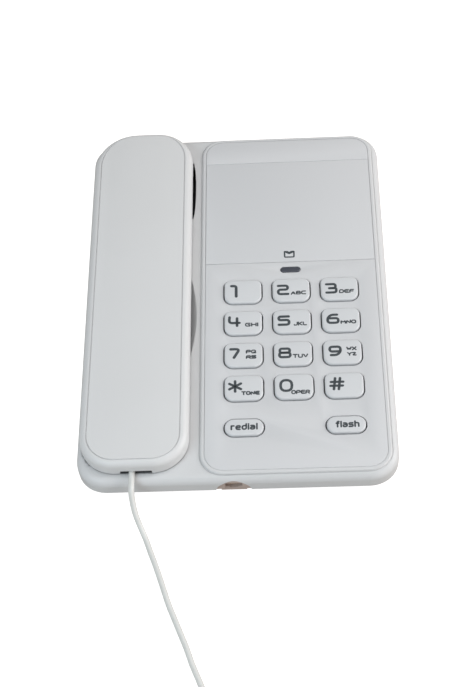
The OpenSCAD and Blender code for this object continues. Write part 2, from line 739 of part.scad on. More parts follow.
// A slide-switch knob at the low end of its way, with its stem through the wall
module switch_knob() {
  low = 0.2;           // how far the knob's face lies below the wall's
  lip = 1;             // thickness of the slider behind the wall
  rib = 0.6;
  translate([0, -switch_travel / 2, 0]) {
    box(-switch_pocket + low, -low, -knob_l / 2, knob_l / 2, -knob_h / 2, knob_h / 2);
    for (i = [-1:1]) box(-low - FLAT, 0, i * 1.4 - rib / 2, i * 1.4 + rib / 2, -knob_h / 2, knob_h / 2);
    box(-wall - low - lip, -switch_pocket + low + FLAT, -stem_l / 2, stem_l / 2, -stem_h / 2, stem_h / 2);
    box(-wall - low - lip, -wall - low, -knob_l / 2, knob_l / 2, -knob_h / 2 - 0.4, knob_h / 2 + 0.4);
  }
}

module ringer_switch_knob() {
  color(dark_slate) on_deck() translate([base_w / 2, side_switch_y, -side_switch_down]) switch_knob();
}

module tone_pulse_switch_knob() {
  color(dark_slate) on_deck() translate([back_switch_x, base_l / 2, -back_switch_down]) rotate(90) switch_knob();
}

module wall_hook_tab() {
  color(shell_white) on_deck() translate([hook_x, tab_y, -trough_d - tab_d + SEAT]) {
    linear_extrude(tab_d - 2 * SEAT) square([tab_w, tab_t], center = true);
  }
}

module hook_switch_plunger() {
  color(shell_white) on_deck() translate([hook_x, hook_y, 0]) {
    translate([0, 0, hook_collar - collar_t]) cylinder(r = hook_r, h = hook_top - 1 - hook_collar + collar_t);
    translate([0, 0, hook_top - 1 - FLAT]) cylinder(r1 = hook_r, r2 = hook_r - 1, h = 1 + FLAT);
    translate([0, 0, hook_collar - collar_t]) cylinder(r = hook_r + 1.6, h = collar_t);
  }
}

module hook_spring() {
  color(steel) on_deck() translate([hook_x, hook_y, hook_collar - collar_t - SEAT - spring_l]) difference() {
    cylinder(r = 3, h = spring_l);
    translate([0, 0, -1]) cylinder(r = 2.3, h = spring_l + 2);
  }
}

module hook_switch() {
  color(jack_black) difference() {
    on_deck() translate([hook_x, hook_y, -base_l])
      linear_extrude(base_l + hook_collar - collar_t - 2 * SEAT - spring_l) square([16, 12], center = true);
    translate([-base_w, -base_l, -2 * base_l]) cube([2 * base_w, 2 * base_l, 2 * base_l + floor_z]);
  }
}

module key_cap(w, l, r_top, r_low) {
  round_h = 0.8;
  translate([0, 0, flange_z]) linear_extrude(flange_t)
    key_outline(w + 2 * flange_w, l + 2 * flange_w, r_top + flange_w, r_low + flange_w);
  translate([0, 0, post_z]) cylinder(r = post_r, h = flange_z - post_z + FLAT);
  hull() {
    translate([0, 0, flange_z + FLAT]) linear_extrude(key_top - round_h - flange_z - FLAT)
      key_outline(w, l, r_top, r_low, $fn = 24);
    translate([0, 0, key_top - round_h / 3]) linear_extrude(FLAT)
      key_outline(w - 0.5, l - 0.5, r_top - 0.25, r_low - 0.25, $fn = 24);
    translate([0, 0, key_top - FLAT]) linear_extrude(FLAT)
      key_outline(w - 1.7, l - 1.7, r_top - 0.8, r_low - 0.8, $fn = 24);
  }
}

module digit_key(name) {
  for (k = digit_keys) if (k[0] == name)
    color(key_white) on_deck() translate(key_at(k[1], k[2])) key_cap(key_w, key_l, key_r_top, key_r_low);
}

module pill_key(name) {
  r = pill_l / 2 - FLAT;
  for (k = pill_keys) if (k[0] == name)
    color(key_white) on_deck() translate(pill_at(k[1])) key_cap(key_w, pill_l, r, r);
}

module handset_back_shell() {
  color(shell_white) on_handset() difference() {
    union() {
      difference() {
        translate([0, 0, face_up]) soft_block(handset_w, handset_l, handset_r, handset_rim, face_up - part_z);
        slab(handset_w - 2 * shell_t, handset_l - 2 * shell_t, handset_r - shell_t, part_z - 1,
             face_up - shell_t - 0.2);
      }
      for (y = handset_screw_y) translate([0, y, -3]) cylinder(r = 3.2, h = face_up + 2);
    }
    translate([0, (groove_near - groove_far) / 2, face_up - groove_d]) linear_extrude(groove_d + 1) difference() {
      key_outline(handset_w - 2 * groove_side, handset_l - groove_near - groove_far, groove_r_far, groove_r_near);
      key_outline(handset_w - 2 * (groove_side + groove_w), handset_l - groove_near - groove_far - 2 * groove_w,
                  groove_r_far - groove_w, groove_r_near - groove_w);
    }
    for (y = handset_screw_y) translate([0, y, -4]) cylinder(r = handset_pilot_r, h = 8);
    cord_slot(jack_y);
  }
}

// The slot that the cord comes out of, cut as far in as y
module cord_slot(y) {
  box(slot_x - slot_w / 2, slot_x + slot_w / 2, -handset_l, y, slot_low, slot_top);
}

// An ear or mouth cap: a shallow dish on a rounded drum
module cap(r, depth, root) {
  rotate_extrude() polygon([[0, -root], [r, -root], [r, -depth + 1.6], [r - 0.6, -depth + 0.5], [r - 1.9, -depth],
                            [r - 4.4, -depth], [r - 8.5, -depth + 0.6], [0, -depth + 0.8]]);
}

module handset_front_shell() {
  root = grip_d - 2;
  color(shell_white) on_handset() difference() {
    union() {
      slab(handset_w, handset_l, handset_r, handset_gap, part_z);
      hull() {
        slab(grip_w, grip_l, grip_r, -1, handset_gap + FLAT, $fn = HULL_FN);
        slab(grip_w - 1, grip_l - 1, grip_r - 0.5, -grip_d * 0.6, -grip_d * 0.6 + FLAT, $fn = HULL_FN);
        slab(grip_w - 2 * grip_draft, grip_l - 2 * grip_draft, grip_r - grip_draft,
             -grip_d, -grip_d + FLAT, $fn = HULL_FN);
      }
      translate([0, ear_y, 0]) cap(ear_r, ear_d, root);
      translate([0, mouth_y, 0]) cap(mouth_r, mouth_d, root);
    }
    difference() {
      slab(grip_w - 2 * grip_draft - 2 * shell_t, grip_l - 2 * grip_draft - 2 * shell_t, grip_r - grip_draft - shell_t,
           -grip_d + shell_t, part_z + 1);
      for (y = handset_screw_y) translate([0, y, -grip_d]) cylinder(r = 4.4, h = grip_d - 3 - SEAT);
    }
    translate([0, ear_y, -ear_d + shell_t + 0.4]) cylinder(r = ear_r - shell_t, h = ear_d);
    translate([0, mouth_y, -mouth_d + shell_t + 0.2]) cylinder(r = mouth_r - shell_t, h = mouth_d);
    for (i = [0:5]) translate([0, ear_y, -ear_d - 1]) rotate(i * 60) translate([ear_hole_ring, 0, 0]) cylinder(r = ear_hole_r, h = 6, $fn = 24);
    translate([0, ear_y, -ear_d - 1]) cylinder(r = ear_hole_r, h = 6, $fn = 24);
    for (i = [-1:1]) translate([i * mouth_hole_gap, mouth_y, -mouth_d - 1]) cylinder(r = mouth_hole_r, h = 5, $fn = 24);
    for (y = handset_screw_y) translate([0, y, -grip_d - 1]) {
      cylinder(r = 1.5, h = 10);
      cylinder(r = screw_head_r + 0.3, h = 3);
    }
    cord_slot(-grip_l / 2 + grip_draft + shell_t + 1);
  }
}

module earpiece_receiver() {
  color(jack_black) on_handset() translate([0, ear_y, -ear_d + shell_t + 0.4 + SEAT]) difference() {
    union() {
      cylinder(r = receiver_r, h = receiver_h - 1.4);
      cylinder(r = receiver_r - 3, h = receiver_h);
    }
    translate([0, 0, -1]) cylinder(r = 6, h = 2);
  }
}

module microphone_capsule() {
  color(steel) on_handset() translate([0, mouth_y, -mouth_d + shell_t + 0.2 + SEAT]) difference() {
    cylinder(r = mic_r, h = mic_h);
    translate([0, 0, -1]) cylinder(r = 1.5, h = 1.6);
  }
}

module handset_weight() {
  color(steel) on_handset() translate([0, (handset_screw_y[0] + handset_screw_y[1]) / 2, 0])
    slab(weight_size.x, weight_size.y, 3, -grip_d + shell_t + SEAT, -grip_d + shell_t + SEAT + weight_size.z);
}

module handset_jack() {
  color(jack_black) on_handset() translate([cord_x, jack_y, slot_low + SEAT])
    socket(jack_w, jack_l, jack_h, [plug_w + 0.4, plug_h + 0.4, cord_up - slot_low - plug_h / 2 - 0.2], 3.4);
}

module handset_screws() {
  color(steel) on_handset() for (y = handset_screw_y) translate([0, y, -grip_d + 0.1])
    screw(screw_head_r, 1.8, handset_pilot_r - 0.05, handset_screw_l);
}

// A four-way modular plug, the cord's face at y = 0 and its nose towards +y; z = 0 is the cord's axis
module modular_plug() {
  difference() {
    translate([-plug_w / 2, 0, -plug_h / 2]) cube([plug_w, plug_l, plug_h]);
    for (i = [-1.5:1:1.5]) translate([i * 1.25 - 0.3, plug_l - 4, plug_h / 2 - 0.8]) cube([0.6, 5, 2]);
  }
  translate([-1.6, 2, -plug_h / 2 - 0.7]) cube([3.2, plug_l - 2.5, 0.71]);
}

module handset_cord_plug() {
  color(clear_grey) on_handset() translate([cord_x, jack_y - plug_out, cord_up]) modular_plug();
}

module base_cord_plug() {
  end = tail_route[len(tail_route) - 1];
  color(clear_grey) translate(end) rotate(180) mirror([0, 0, 1]) modular_plug();
}

// Tube of flat triangles through a list of rings
module ring_tube(rings) {
  n = len(rings);
  s = len(rings[0]);
  points = [for (r = rings) each r];
  sides = [for (i = [0:n - 2], j = [0:s - 1]) each
             [[i * s + j, i * s + (j + 1) % s, (i + 1) * s + j],
              [i * s + (j + 1) % s, (i + 1) * s + (j + 1) % s, (i + 1) * s + j]]];
  caps = [for (j = [1:s - 2]) each [[0, j + 1, j], [(n - 1) * s, (n - 1) * s + j, (n - 1) * s + j + 1]]];
  polyhedron(points, concat(sides, caps), convexity = 20);
}

function unit(v) = v / norm(v);
function heading(p, i) = unit(p[min(i + 1, len(p) - 1)] - p[max(i - 1, 0)]);
function ring_at(c, right, up, r, sides) =
  [for (j = [0:sides - 1]) c + r * (cos(360 * j / sides) * right + sin(360 * j / sides) * up)];
function tube_rings(p, r, sides) =
  [for (i = [0:len(p) - 1]) let (t = heading(p, i), right = unit(cross(t, [0, 0, 1])))
     ring_at(p[i], right, cross(right, t), r, sides)];

module cord_leader() {
  color(cord_white) ring_tube(tube_rings(leader_route, cord_d / 2, 8));
}

module cord_tail() {
  color(cord_white) ring_tube(tube_rings(tail_route, cord_d / 2, 8));
}

// The helix: turn t of the curls lies on a ring, and grows out of the table at both ends
function swell(t) = let (x = min(1, t, curls - t)) x * x * (3 - 2 * x);
function curl_axis(t) = let (a = ring_start - ring_turn * t / curls)
  ring_place(a) + [0, 0, curl_r * swell(t)];
function curl_out(t) = let (a = ring_start - ring_turn * t / curls, b = 360 * t + 90)
  [cos(a) * cos(b), sin(a) * cos(b), sin(b)];
function curl_point(t) = curl_axis(t) + curl_r * swell(t) * curl_out(t);
curl_steps = [for (i = [0:curls * rings_per_curl]) i / rings_per_curl];
curl_path = concat([coil_in], [for (t = curl_steps) curl_point(t)], [coil_out]);
curl_normals = concat([curl_out(0)], [for (t = curl_steps) curl_out(t)], [curl_out(curls)]);
function square_to(n, t) = unit(n - (n * t) * t);
function curl_rings() =
  [for (i = [0:len(curl_path) - 1])
     let (t = i == 0 ? ring_dir(ring_start)
            : i == len(curl_path) - 1 ? ring_dir(ring_start - ring_turn) : heading(curl_path, i),
          n = square_to(curl_normals[i], t))
     ring_at(curl_path[i], n, cross(n, t), cord_d / 2, wire_sides)];
function to_segment(p, a, b) = let (d = b - a, s = max(0, min(1, (p - a) * d / (d * d)))) norm(p - a - s * d);
// Length of the path up to each of its points
curl_along = [for (i = 0, way = 0; i < len(curl_path);
                   way = way + (i + 1 < len(curl_path) ? norm(curl_path[i + 1] - curl_path[i]) : 0), i = i + 1) way];
// The wire's nearest way to itself, leaving out the stretch of 3 diameters next to each place
function least_gap() =
  min([for (i = [0:len(curl_path) - 2], j = [i + 3:min(i + 14, len(curl_path) - 2)])
         if (curl_along[j] - curl_along[i] > 3 * cord_d) to_segment(curl_path[i], curl_path[j], curl_path[j + 1])])
  - cord_d;
function ends_gap() = norm(curl_path[0] - curl_path[len(curl_path) - 1]) - curl_d;

module cord_coil() {
  echo(str("cord_coil: least gap from curl to curl ", least_gap(), " mm, and from end to end ", ends_gap(), " mm"));
  color(cord_white) ring_tube(curl_rings());
}

base_top_housing();
base_bottom_cover();
rubber_feet();
housing_screws();
ballast_weight();
keypad_faceplate();
name_plate();
lamp_lens();
message_led();
keypad_mat();
main_circuit_board();
board_screws();
ringer();
line_jack();
base_handset_jack();
ringer_switch_knob();
tone_pulse_switch_knob();
wall_hook_tab();
hook_switch_plunger();
hook_spring();
hook_switch();
digit_key("key_1");  // key_1
digit_key("key_2");  // key_2
digit_key("key_3");  // key_3
digit_key("key_4");  // key_4
digit_key("key_5");  // key_5
digit_key("key_6");  // key_6
digit_key("key_7");  // key_7
digit_key("key_8");  // key_8
digit_key("key_9");  // key_9
digit_key("key_star");  // key_star
digit_key("key_0");  // key_0
digit_key("key_hash");  // key_hash
pill_key("key_redial");  // key_redial
pill_key("key_flash");  // key_flash
handset_back_shell();
handset_front_shell();
earpiece_receiver();
microphone_capsule();
handset_weight();
handset_jack();
handset_screws();
handset_cord_plug();
cord_leader();
cord_coil();
cord_tail();
base_cord_plug();
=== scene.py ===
import json
import math

import bmesh
import bpy
from mathutils import Matrix, Quaternion, Vector

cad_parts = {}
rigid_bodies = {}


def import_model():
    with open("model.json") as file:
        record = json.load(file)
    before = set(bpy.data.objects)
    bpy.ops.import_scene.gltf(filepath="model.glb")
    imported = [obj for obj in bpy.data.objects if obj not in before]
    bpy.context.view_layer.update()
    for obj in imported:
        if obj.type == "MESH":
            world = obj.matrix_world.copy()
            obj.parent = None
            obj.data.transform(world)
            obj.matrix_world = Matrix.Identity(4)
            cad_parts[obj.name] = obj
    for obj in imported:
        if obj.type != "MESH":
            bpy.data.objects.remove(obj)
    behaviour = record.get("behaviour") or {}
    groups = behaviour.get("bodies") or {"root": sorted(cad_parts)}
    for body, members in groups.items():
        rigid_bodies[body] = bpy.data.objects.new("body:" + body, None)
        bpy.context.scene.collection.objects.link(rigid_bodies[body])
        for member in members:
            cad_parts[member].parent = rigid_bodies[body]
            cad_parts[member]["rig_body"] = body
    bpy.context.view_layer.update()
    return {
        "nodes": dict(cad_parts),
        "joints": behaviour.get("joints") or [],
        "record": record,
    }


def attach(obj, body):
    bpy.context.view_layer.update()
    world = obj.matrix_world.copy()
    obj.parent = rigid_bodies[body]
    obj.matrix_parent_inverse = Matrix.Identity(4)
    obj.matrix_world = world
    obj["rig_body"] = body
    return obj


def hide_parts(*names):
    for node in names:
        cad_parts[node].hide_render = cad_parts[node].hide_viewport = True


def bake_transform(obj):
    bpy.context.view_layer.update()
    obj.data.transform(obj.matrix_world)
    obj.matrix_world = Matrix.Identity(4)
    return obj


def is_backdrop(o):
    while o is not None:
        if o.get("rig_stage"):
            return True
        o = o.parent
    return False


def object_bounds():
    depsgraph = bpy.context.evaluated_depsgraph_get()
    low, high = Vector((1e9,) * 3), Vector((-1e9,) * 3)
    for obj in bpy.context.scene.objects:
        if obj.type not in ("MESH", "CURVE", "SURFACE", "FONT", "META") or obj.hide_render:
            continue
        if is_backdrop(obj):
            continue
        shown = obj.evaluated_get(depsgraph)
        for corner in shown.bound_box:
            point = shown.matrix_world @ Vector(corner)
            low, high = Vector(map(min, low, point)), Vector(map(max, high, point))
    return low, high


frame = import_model()
scene = bpy.context.scene
nodes = frame["nodes"]
mm = 0.001          # lengths in the settings of a piece are in millimetres
hair = 0.01 * mm    # too small to see
level = 1e-7        # how far apart two equal heights may lie
print("frame loaded:", len(nodes), "nodes")

# the deck is the sloping top: its frame is the world turned about X until the deck lies level
liftAxis = Vector(next(j["axis"] for j in frame["joints"] if j["name"] == "handset_lift"))
deckTurn = Matrix.Rotation(math.atan2(-liftAxis.y, liftAxis.z), 4, "X")


def deckBox(*names):
    # lowest and highest corner of some nodes, measured square to the deck
    toLevel = deckTurn.inverted()
    points = [toLevel @ v.co for name in names for v in nodes[name].data.vertices]
    return (Vector([min(p[i] for p in points) for i in range(3)]),
            Vector([max(p[i] for p in points) for i in range(3)]))


def bodyOf(node):
    return nodes[node]["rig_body"]


plateRise = 1.0 * mm    # the face plate's top above the deck
deckTop = deckBox("keypad_faceplate")[1].z - plateRise


# ---- camera and light

cameraSettings = {
    "lens": 73.36,
    "sensor": 36,
    "nearest": 0.01,
    "place": (0.0277, -0.43887, 0.56481),
    "aim": (-0.00086, -0.01144, 0.0),
    "roll": -4.86,
}


def addCamera(s):
    camera = bpy.data.objects.new("camera", bpy.data.cameras.new("camera"))
    scene.collection.objects.link(camera)
    look = Vector(s["aim"]) - Vector(s["place"])
    turn = look.to_track_quat("-Z", "Y") @ Quaternion((0, 0, 1), math.radians(s["roll"]))
    camera.location = s["place"]
    camera.rotation_mode = "QUATERNION"
    camera.rotation_quaternion = turn
    camera.data.lens = s["lens"]
    camera.data.sensor_width = s["sensor"]
    camera.data.clip_start = s["nearest"]
    scene.camera = camera


lightSettings = {
    "world": 0.41,
    "worldColour": (1.0, 0.992, 0.98),
    "lamps": [
        # name, place, size, power, colour
        ("keyLight", (0.85, 0.05, 0.42), 0.7, 5.7, (1.0, 0.99, 0.985)),
        ("fillLight", (-0.42, -0.5, 0.5), 0.5, 2.25, (0.79, 0.92, 1.0)),
        ("topLight", (0.1, -0.1, 1.05), 0.8, 1.95, (1.0, 0.99, 0.975)),
        ("frontLight", (0.6, -0.7, 0.22), 0.4, 1.0, (1.0, 0.97, 0.95)),
    ],
}


def addLights(s):
    world = bpy.data.worlds.new("studio")
    scene.world = world
    world.use_nodes = True
    background = world.node_tree.nodes["Background"]
    background.inputs["Color"].default_value = (*s["worldColour"], 1)
    background.inputs["Strength"].default_value = s["world"]
    for name, place, size, power, colour in s["lamps"]:
        lamp = bpy.data.lights.new(name, "AREA")
        lamp.shape = "DISK"
        lamp.size = size
        lamp.energy = power
        lamp.color = colour
        holder = bpy.data.objects.new(name, lamp)
        scene.collection.objects.link(holder)
        holder.location = place
        holder.rotation_euler = (-Vector(place)).to_track_quat("-Z", "Y").to_euler()


addCamera(cameraSettings)
addLights(lightSettings)
scene.view_settings.view_transform = "Standard"
print("camera and lights placed")


# ---- materials

def newGroup(name, inputs, outputs):
    group = bpy.data.node_groups.new(name, "ShaderNodeTree")
    for socket, kind, value in inputs:
        made = group.interface.new_socket(socket, in_out="INPUT", socket_type=kind)
        made.default_value = value
    for socket, kind in outputs:
        group.interface.new_socket(socket, in_out="OUTPUT", socket_type=kind)
    return group, group.nodes.new("NodeGroupInput"), group.nodes.new("NodeGroupOutput")


def addNode(tree, kind, inputs=(), **settings):
    node = tree.nodes.new(kind)
    for key, value in settings.items():
        setattr(node, key, value)
    for key, value in dict(inputs).items():
        if isinstance(value, bpy.types.NodeSocket):
            tree.links.new(value, node.inputs[key])
        else:
            node.inputs[key].default_value = value
    return node


skinSettings = {
    "grain": {"Detail": 2.0, "Roughness": 0.6},
    "drift": {"Scale": 14.0, "Detail": 2.0, "Roughness": 0.45},
    "smudge": {"Scale": 70.0, "Detail": 4.0, "Roughness": 0.6},
    "driftRange": (0.35, 0.65),
    "driftShare": 0.5,
    "roughnessSpread": 0.08,
}


def mouldedGroup(s):
    # spark-eroded grain of a moulded skin, with slow drifts of tone and of gloss
    group, source, sink = newGroup(
        "mouldedSkin",
        [("Colour", "NodeSocketColor", (0.8, 0.8, 0.8, 1)),
         ("Drift Colour", "NodeSocketColor", (0.7, 0.7, 0.7, 1)),
         ("Drift", "NodeSocketFloat", s["driftShare"]), ("Grain Scale", "NodeSocketFloat", 2500.0),
         ("Roughness", "NodeSocketFloat", 0.4),
         ("Roughness Spread", "NodeSocketFloat", s["roughnessSpread"])],
        [("Colour", "NodeSocketColor"), ("Roughness", "NodeSocketFloat"), ("Height", "NodeSocketFloat")])
    place = addNode(group, "ShaderNodeTexCoord").outputs["Object"]
    fine = addNode(group, "ShaderNodeTexNoise",
                   {"Vector": place, "Scale": source.outputs["Grain Scale"], **s["grain"]})
    slow = addNode(group, "ShaderNodeTexNoise", {"Vector": place, **s["drift"]})
    smudge = addNode(group, "ShaderNodeTexNoise", {"Vector": place, **s["smudge"]})
    low, high = s["driftRange"]
    part = addNode(group, "ShaderNodeMapRange",
                   {"Value": slow.outputs["Fac"], "From Min": low, "From Max": high,
                    "To Max": source.outputs["Drift"]})
    # a Mix node's colours are its inputs 6 and 7 and its output 2
    tone = addNode(group, "ShaderNodeMix", {"Factor": part.outputs["Result"]}, data_type="RGBA")
    group.links.new(source.outputs["Colour"], tone.inputs[6])
    group.links.new(source.outputs["Drift Colour"], tone.inputs[7])
    spread = addNode(group, "ShaderNodeMath", {0: smudge.outputs["Fac"], 1: 0.5}, operation="SUBTRACT")
    rough = addNode(group, "ShaderNodeMath",
                    {0: spread.outputs[0], 1: source.outputs["Roughness Spread"],
                     2: source.outputs["Roughness"]}, operation="MULTIPLY_ADD")
    group.links.new(tone.outputs[2], sink.inputs["Colour"])
    group.links.new(rough.outputs[0], sink.inputs["Roughness"])
    group.links.new(fine.outputs["Fac"], sink.inputs["Height"])
    return group


mouldedSkin = mouldedGroup(skinSettings)


def newMaterial(name, **fixed):
    material = bpy.data.materials.new(name)
    material.use_nodes = True
    shader = material.node_tree.nodes["Principled BSDF"]
    for key, value in fixed.items():
        shader.inputs[key.replace("_", " ")].default_value = value
    return material, material.node_tree, shader


def moulded(name, colour, drift, roughness, grain=2500.0, depth=0.012, **fixed):
    # a moulded skin: colour and drift are linear colours, depth is the grain's in millimetres
    material, tree, shader = newMaterial(name, **fixed)
    skin = addNode(tree, "ShaderNodeGroup", node_tree=mouldedSkin)
    for key, value in {"Colour": (*colour, 1), "Drift Colour": (*drift, 1), "Grain Scale": grain,
                       "Drift": skinSettings["driftShare"], "Roughness": roughness,
                       "Roughness Spread": skinSettings["roughnessSpread"]}.items():
        skin.inputs[key].default_value = value
    bump = addNode(tree, "ShaderNodeBump",
                   {"Height": skin.outputs["Height"], "Strength": 1.0, "Distance": depth * mm})
    tree.links.new(skin.outputs["Colour"], shader.inputs["Base Color"])
    tree.links.new(skin.outputs["Roughness"], shader.inputs["Roughness"])
    tree.links.new(bump.outputs["Normal"], shader.inputs["Normal"])
    return material


shellPlastic = moulded("shellPlastic", (0.616, 0.621, 0.628), (0.59, 0.595, 0.605), 0.42)
handsetPlastic = moulded("handsetPlastic", (0.655, 0.658, 0.662), (0.625, 0.626, 0.628), 0.40)
panelPlastic = moulded("panelPlastic", (0.614, 0.619, 0.631), (0.592, 0.596, 0.61), 0.45)
keyPlastic = moulded("keyPlastic", (0.618, 0.63, 0.645), (0.60, 0.61, 0.625), 0.38, depth=0.006)
lensPlastic = moulded("lensPlastic", (0.055, 0.06, 0.078), (0.04, 0.044, 0.056), 0.22, depth=0.002,
                      Coat_Weight=0.3)
ledPlastic = moulded("ledPlastic", (0.5, 0.03, 0.02), (0.4, 0.02, 0.02), 0.2, depth=0.001)
rubber = moulded("rubber", (0.10, 0.105, 0.11), (0.13, 0.13, 0.135), 0.8, depth=0.03, grain=1800.0)
zinc = moulded("zinc", (0.55, 0.56, 0.58), (0.42, 0.43, 0.45), 0.35, depth=0.004, Metallic=1.0)
boardGreen = moulded("boardGreen", (0.03, 0.16, 0.06), (0.02, 0.11, 0.04), 0.3, depth=0.004,
                     Coat_Weight=0.4)
blackPlastic = moulded("blackPlastic", (0.018, 0.018, 0.02), (0.03, 0.03, 0.032), 0.45)
jackPlastic = moulded("jackPlastic", (0.46, 0.37, 0.33), (0.50, 0.41, 0.37), 0.5)
cordJacket = moulded("cordJacket", (0.70, 0.70, 0.68), (0.66, 0.655, 0.63), 0.33, depth=0.01, grain=900.0)
clearPlastic = moulded("clearPlastic", (0.78, 0.83, 0.85), (0.74, 0.79, 0.81), 0.08, depth=0.002,
                       Transmission_Weight=0.92, IOR=1.56)
gold = moulded("gold", (0.85, 0.58, 0.2), (0.7, 0.45, 0.14), 0.22, depth=0.002, Metallic=1.0)
ink = moulded("ink", (0.045, 0.055, 0.062), (0.06, 0.07, 0.078), 0.5, depth=0.004, grain=4000.0)
slotMaterials = {
    "shell_plastic": shellPlastic, "handset_plastic": handsetPlastic, "panel_plastic": panelPlastic,
    "key_plastic": keyPlastic, "lamp_plastic": lensPlastic, "led_plastic": ledPlastic, "rubber": rubber,
    "steel": zinc, "circuit_board": boardGreen, "dark_plastic": blackPlastic, "cord_jacket": cordJacket,
    "clear_plastic": clearPlastic, "jack_plastic": jackPlastic,
}
print("materials made:", len(bpy.data.materials))

for part in frame["record"]["subparts"]:
    data = nodes[part["node"]].data
    data.materials.clear()
    data.materials.append(slotMaterials[part["material_slot"]])
slotOf = {part["node"]: part["material_slot"] for part in frame["record"]["subparts"]}


# ---- shared modelling steps

softAngle = 50    # edges sharper than this are softened, in degrees
flatAngle = 0.3   # faces that meet at less than this are joined up, in degrees
# corners closer than this are merged: in a solid's copy, after a cut and round a block
mergeWithin = {"solid": 1e-6, "cut": 2e-6, "block": 5e-5}


def addPiece(name, bm, body, material, replaced=(), place=None, sharp=35, second=None):
    # second is the material of the faces whose material index is 1
    mesh = bpy.data.meshes.new(name)
    if place is not None:
        bmesh.ops.transform(bm, matrix=place, verts=bm.verts)
    bm.to_mesh(mesh)
    bm.free()
    mesh.materials.append(material)
    if second:
        mesh.materials.append(second)
    mesh.shade_smooth()
    mesh.set_sharp_from_angle(angle=math.radians(sharp))
    piece = bpy.data.objects.new(name, mesh)
    scene.collection.objects.link(piece)
    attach(piece, body)
    if replaced:
        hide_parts(*replaced)
    return piece


def bevelEdges(bm, edges, width, steps):
    bmesh.ops.bevel(bm, geom=edges, offset=width, offset_type="OFFSET", segments=steps, profile=0.5,
                    affect="EDGES", clamp_overlap=False, material=-1)


def levelFace(bm, z):
    return [f for f in bm.faces if all(abs(v.co.z - z) < level for v in f.verts)]


def lifted(bm, made, rise):
    # the corners of an extrusion, moved up or down
    corners = [v for v in made["geom"] if isinstance(v, bmesh.types.BMVert)]
    bmesh.ops.translate(bm, vec=(0, 0, rise), verts=corners)


def stepped(bm, faces, inset, rise):
    # flat faces with a step: inset, and their middle raised or sunk
    bmesh.ops.inset_individual(bm, faces=faces, thickness=inset, use_even_offset=True)
    made = bmesh.ops.extrude_face_region(bm, geom=faces)
    bmesh.ops.delete(bm, geom=faces, context="FACES_KEEP_BOUNDARY")
    lifted(bm, made, rise)


def roundedBlock(width, length, radii, low, high, rim=0.0, cornerSteps=10, rimSteps=4):
    # radii: near left, near right, far left, far right, or one radius for all four
    bm = bmesh.new()
    bmesh.ops.create_grid(bm, x_segments=1, y_segments=1, size=0.5)
    place = Matrix.Translation((0, 0, low)) @ Matrix.Diagonal((width, length, 1, 1))
    bmesh.ops.transform(bm, matrix=place, verts=bm.verts)
    if not isinstance(radii, (tuple, list)):
        radii = (radii,) * 4
    corners = sorted(bm.verts, key=lambda v: (v.co.y, v.co.x))
    for corner, radius in zip(corners, radii):
        bmesh.ops.bevel(bm, geom=[corner], offset=radius, offset_type="OFFSET", segments=cornerSteps,
                        profile=0.5, affect="VERTICES", material=-1)
    bmesh.ops.remove_doubles(bm, verts=bm.verts, dist=mergeWithin["block"])
    made = bmesh.ops.extrude_face_region(bm, geom=bm.faces[:], use_keep_orig=True)
    lifted(bm, made, high - low)
    bmesh.ops.recalc_face_normals(bm, faces=bm.faces)
    if rim:
        bevelEdges(bm, levelFace(bm, high)[0].edges[:], rim, steps=rimSteps)
    return bm


def deckPlace(x, y, z=0.0):
    return deckTurn @ Matrix.Translation((x, y, z))


def joinInto(bm, other):
    mesh = bpy.data.meshes.new("joined")
    other.to_mesh(mesh)
    other.free()
    bm.from_mesh(mesh)
    bpy.data.meshes.remove(mesh)


def carve(bm, cutters):
    # takes the cutters' shapes out of a mesh; they reach a millimetre or more past its surface
    holders = []
    for one in [bm] + cutters:
        mesh = bpy.data.meshes.new("carved")
        one.to_mesh(mesh)
        one.free()
        holders.append(bpy.data.objects.new("carved", mesh))
        scene.collection.objects.link(holders[-1])
    for cutter in holders[1:]:
        cut = holders[0].modifiers.new("cut", "BOOLEAN")
        cut.operation = "DIFFERENCE"
        cut.solver = "EXACT"
        cut.object = cutter
    made = bmesh.new()
    made.from_object(holders[0], bpy.context.evaluated_depsgraph_get())
    for holder in holders:
        mesh = holder.data
        bpy.data.objects.remove(holder)
        bpy.data.meshes.remove(mesh)
    bmesh.ops.remove_doubles(made, verts=made.verts, dist=mergeWithin["cut"])
    return made


def sharpEdges(bm, angle, test=None):
    return [e for e in bm.edges if len(e.link_faces) == 2 and e.calc_face_angle(0) > math.radians(angle)
            and (test is None or all(test(v.co) for v in e.verts))]


def moved(bm, x, y, z=0.0):
    bmesh.ops.translate(bm, vec=(x, y, z), verts=bm.verts)
    return bm


def middle(low, high):
    return (low.x + high.x) / 2, (low.y + high.y) / 2


# ---- softened copies of the solids that show

# new piece: its node, the width of its softened edges in millimetres, and which of them, if not all
softened = {
    "bottom_cover": ("base_bottom_cover", 0.3, "foot"),
    "handset_grip_shell": ("handset_front_shell", 0.3, "cap"),
    "soft_feet": ("rubber_feet", 0.35, None),
    "cover_screws": ("housing_screws", 0.12, None),
    "grip_screws": ("handset_screws", 0.12, None),
    "line_socket": ("line_jack", 0.15, None),
    "hook_tab": ("wall_hook_tab", 0.2, None),
    "hook_pin": ("hook_switch_plunger", 0.3, None),
    "ringer_slider": ("ringer_switch_knob", 0.12, None),
    "tone_pulse_slider": ("tone_pulse_switch_knob", 0.12, None),
}
softenedHeights = {"foot": 2.1, "cap": 7.5}    # below this over the table, and below this under the deck


def mergedCopy(node):
    # a copy of a solid, its doubles merged and its flat faces joined up
    bm = bmesh.new()
    bm.from_mesh(nodes[node].data)
    bmesh.ops.remove_doubles(bm, verts=bm.verts, dist=mergeWithin["solid"])
    bmesh.ops.dissolve_limit(bm, angle_limit=math.radians(flatAngle), verts=bm.verts, edges=bm.edges)
    return bm


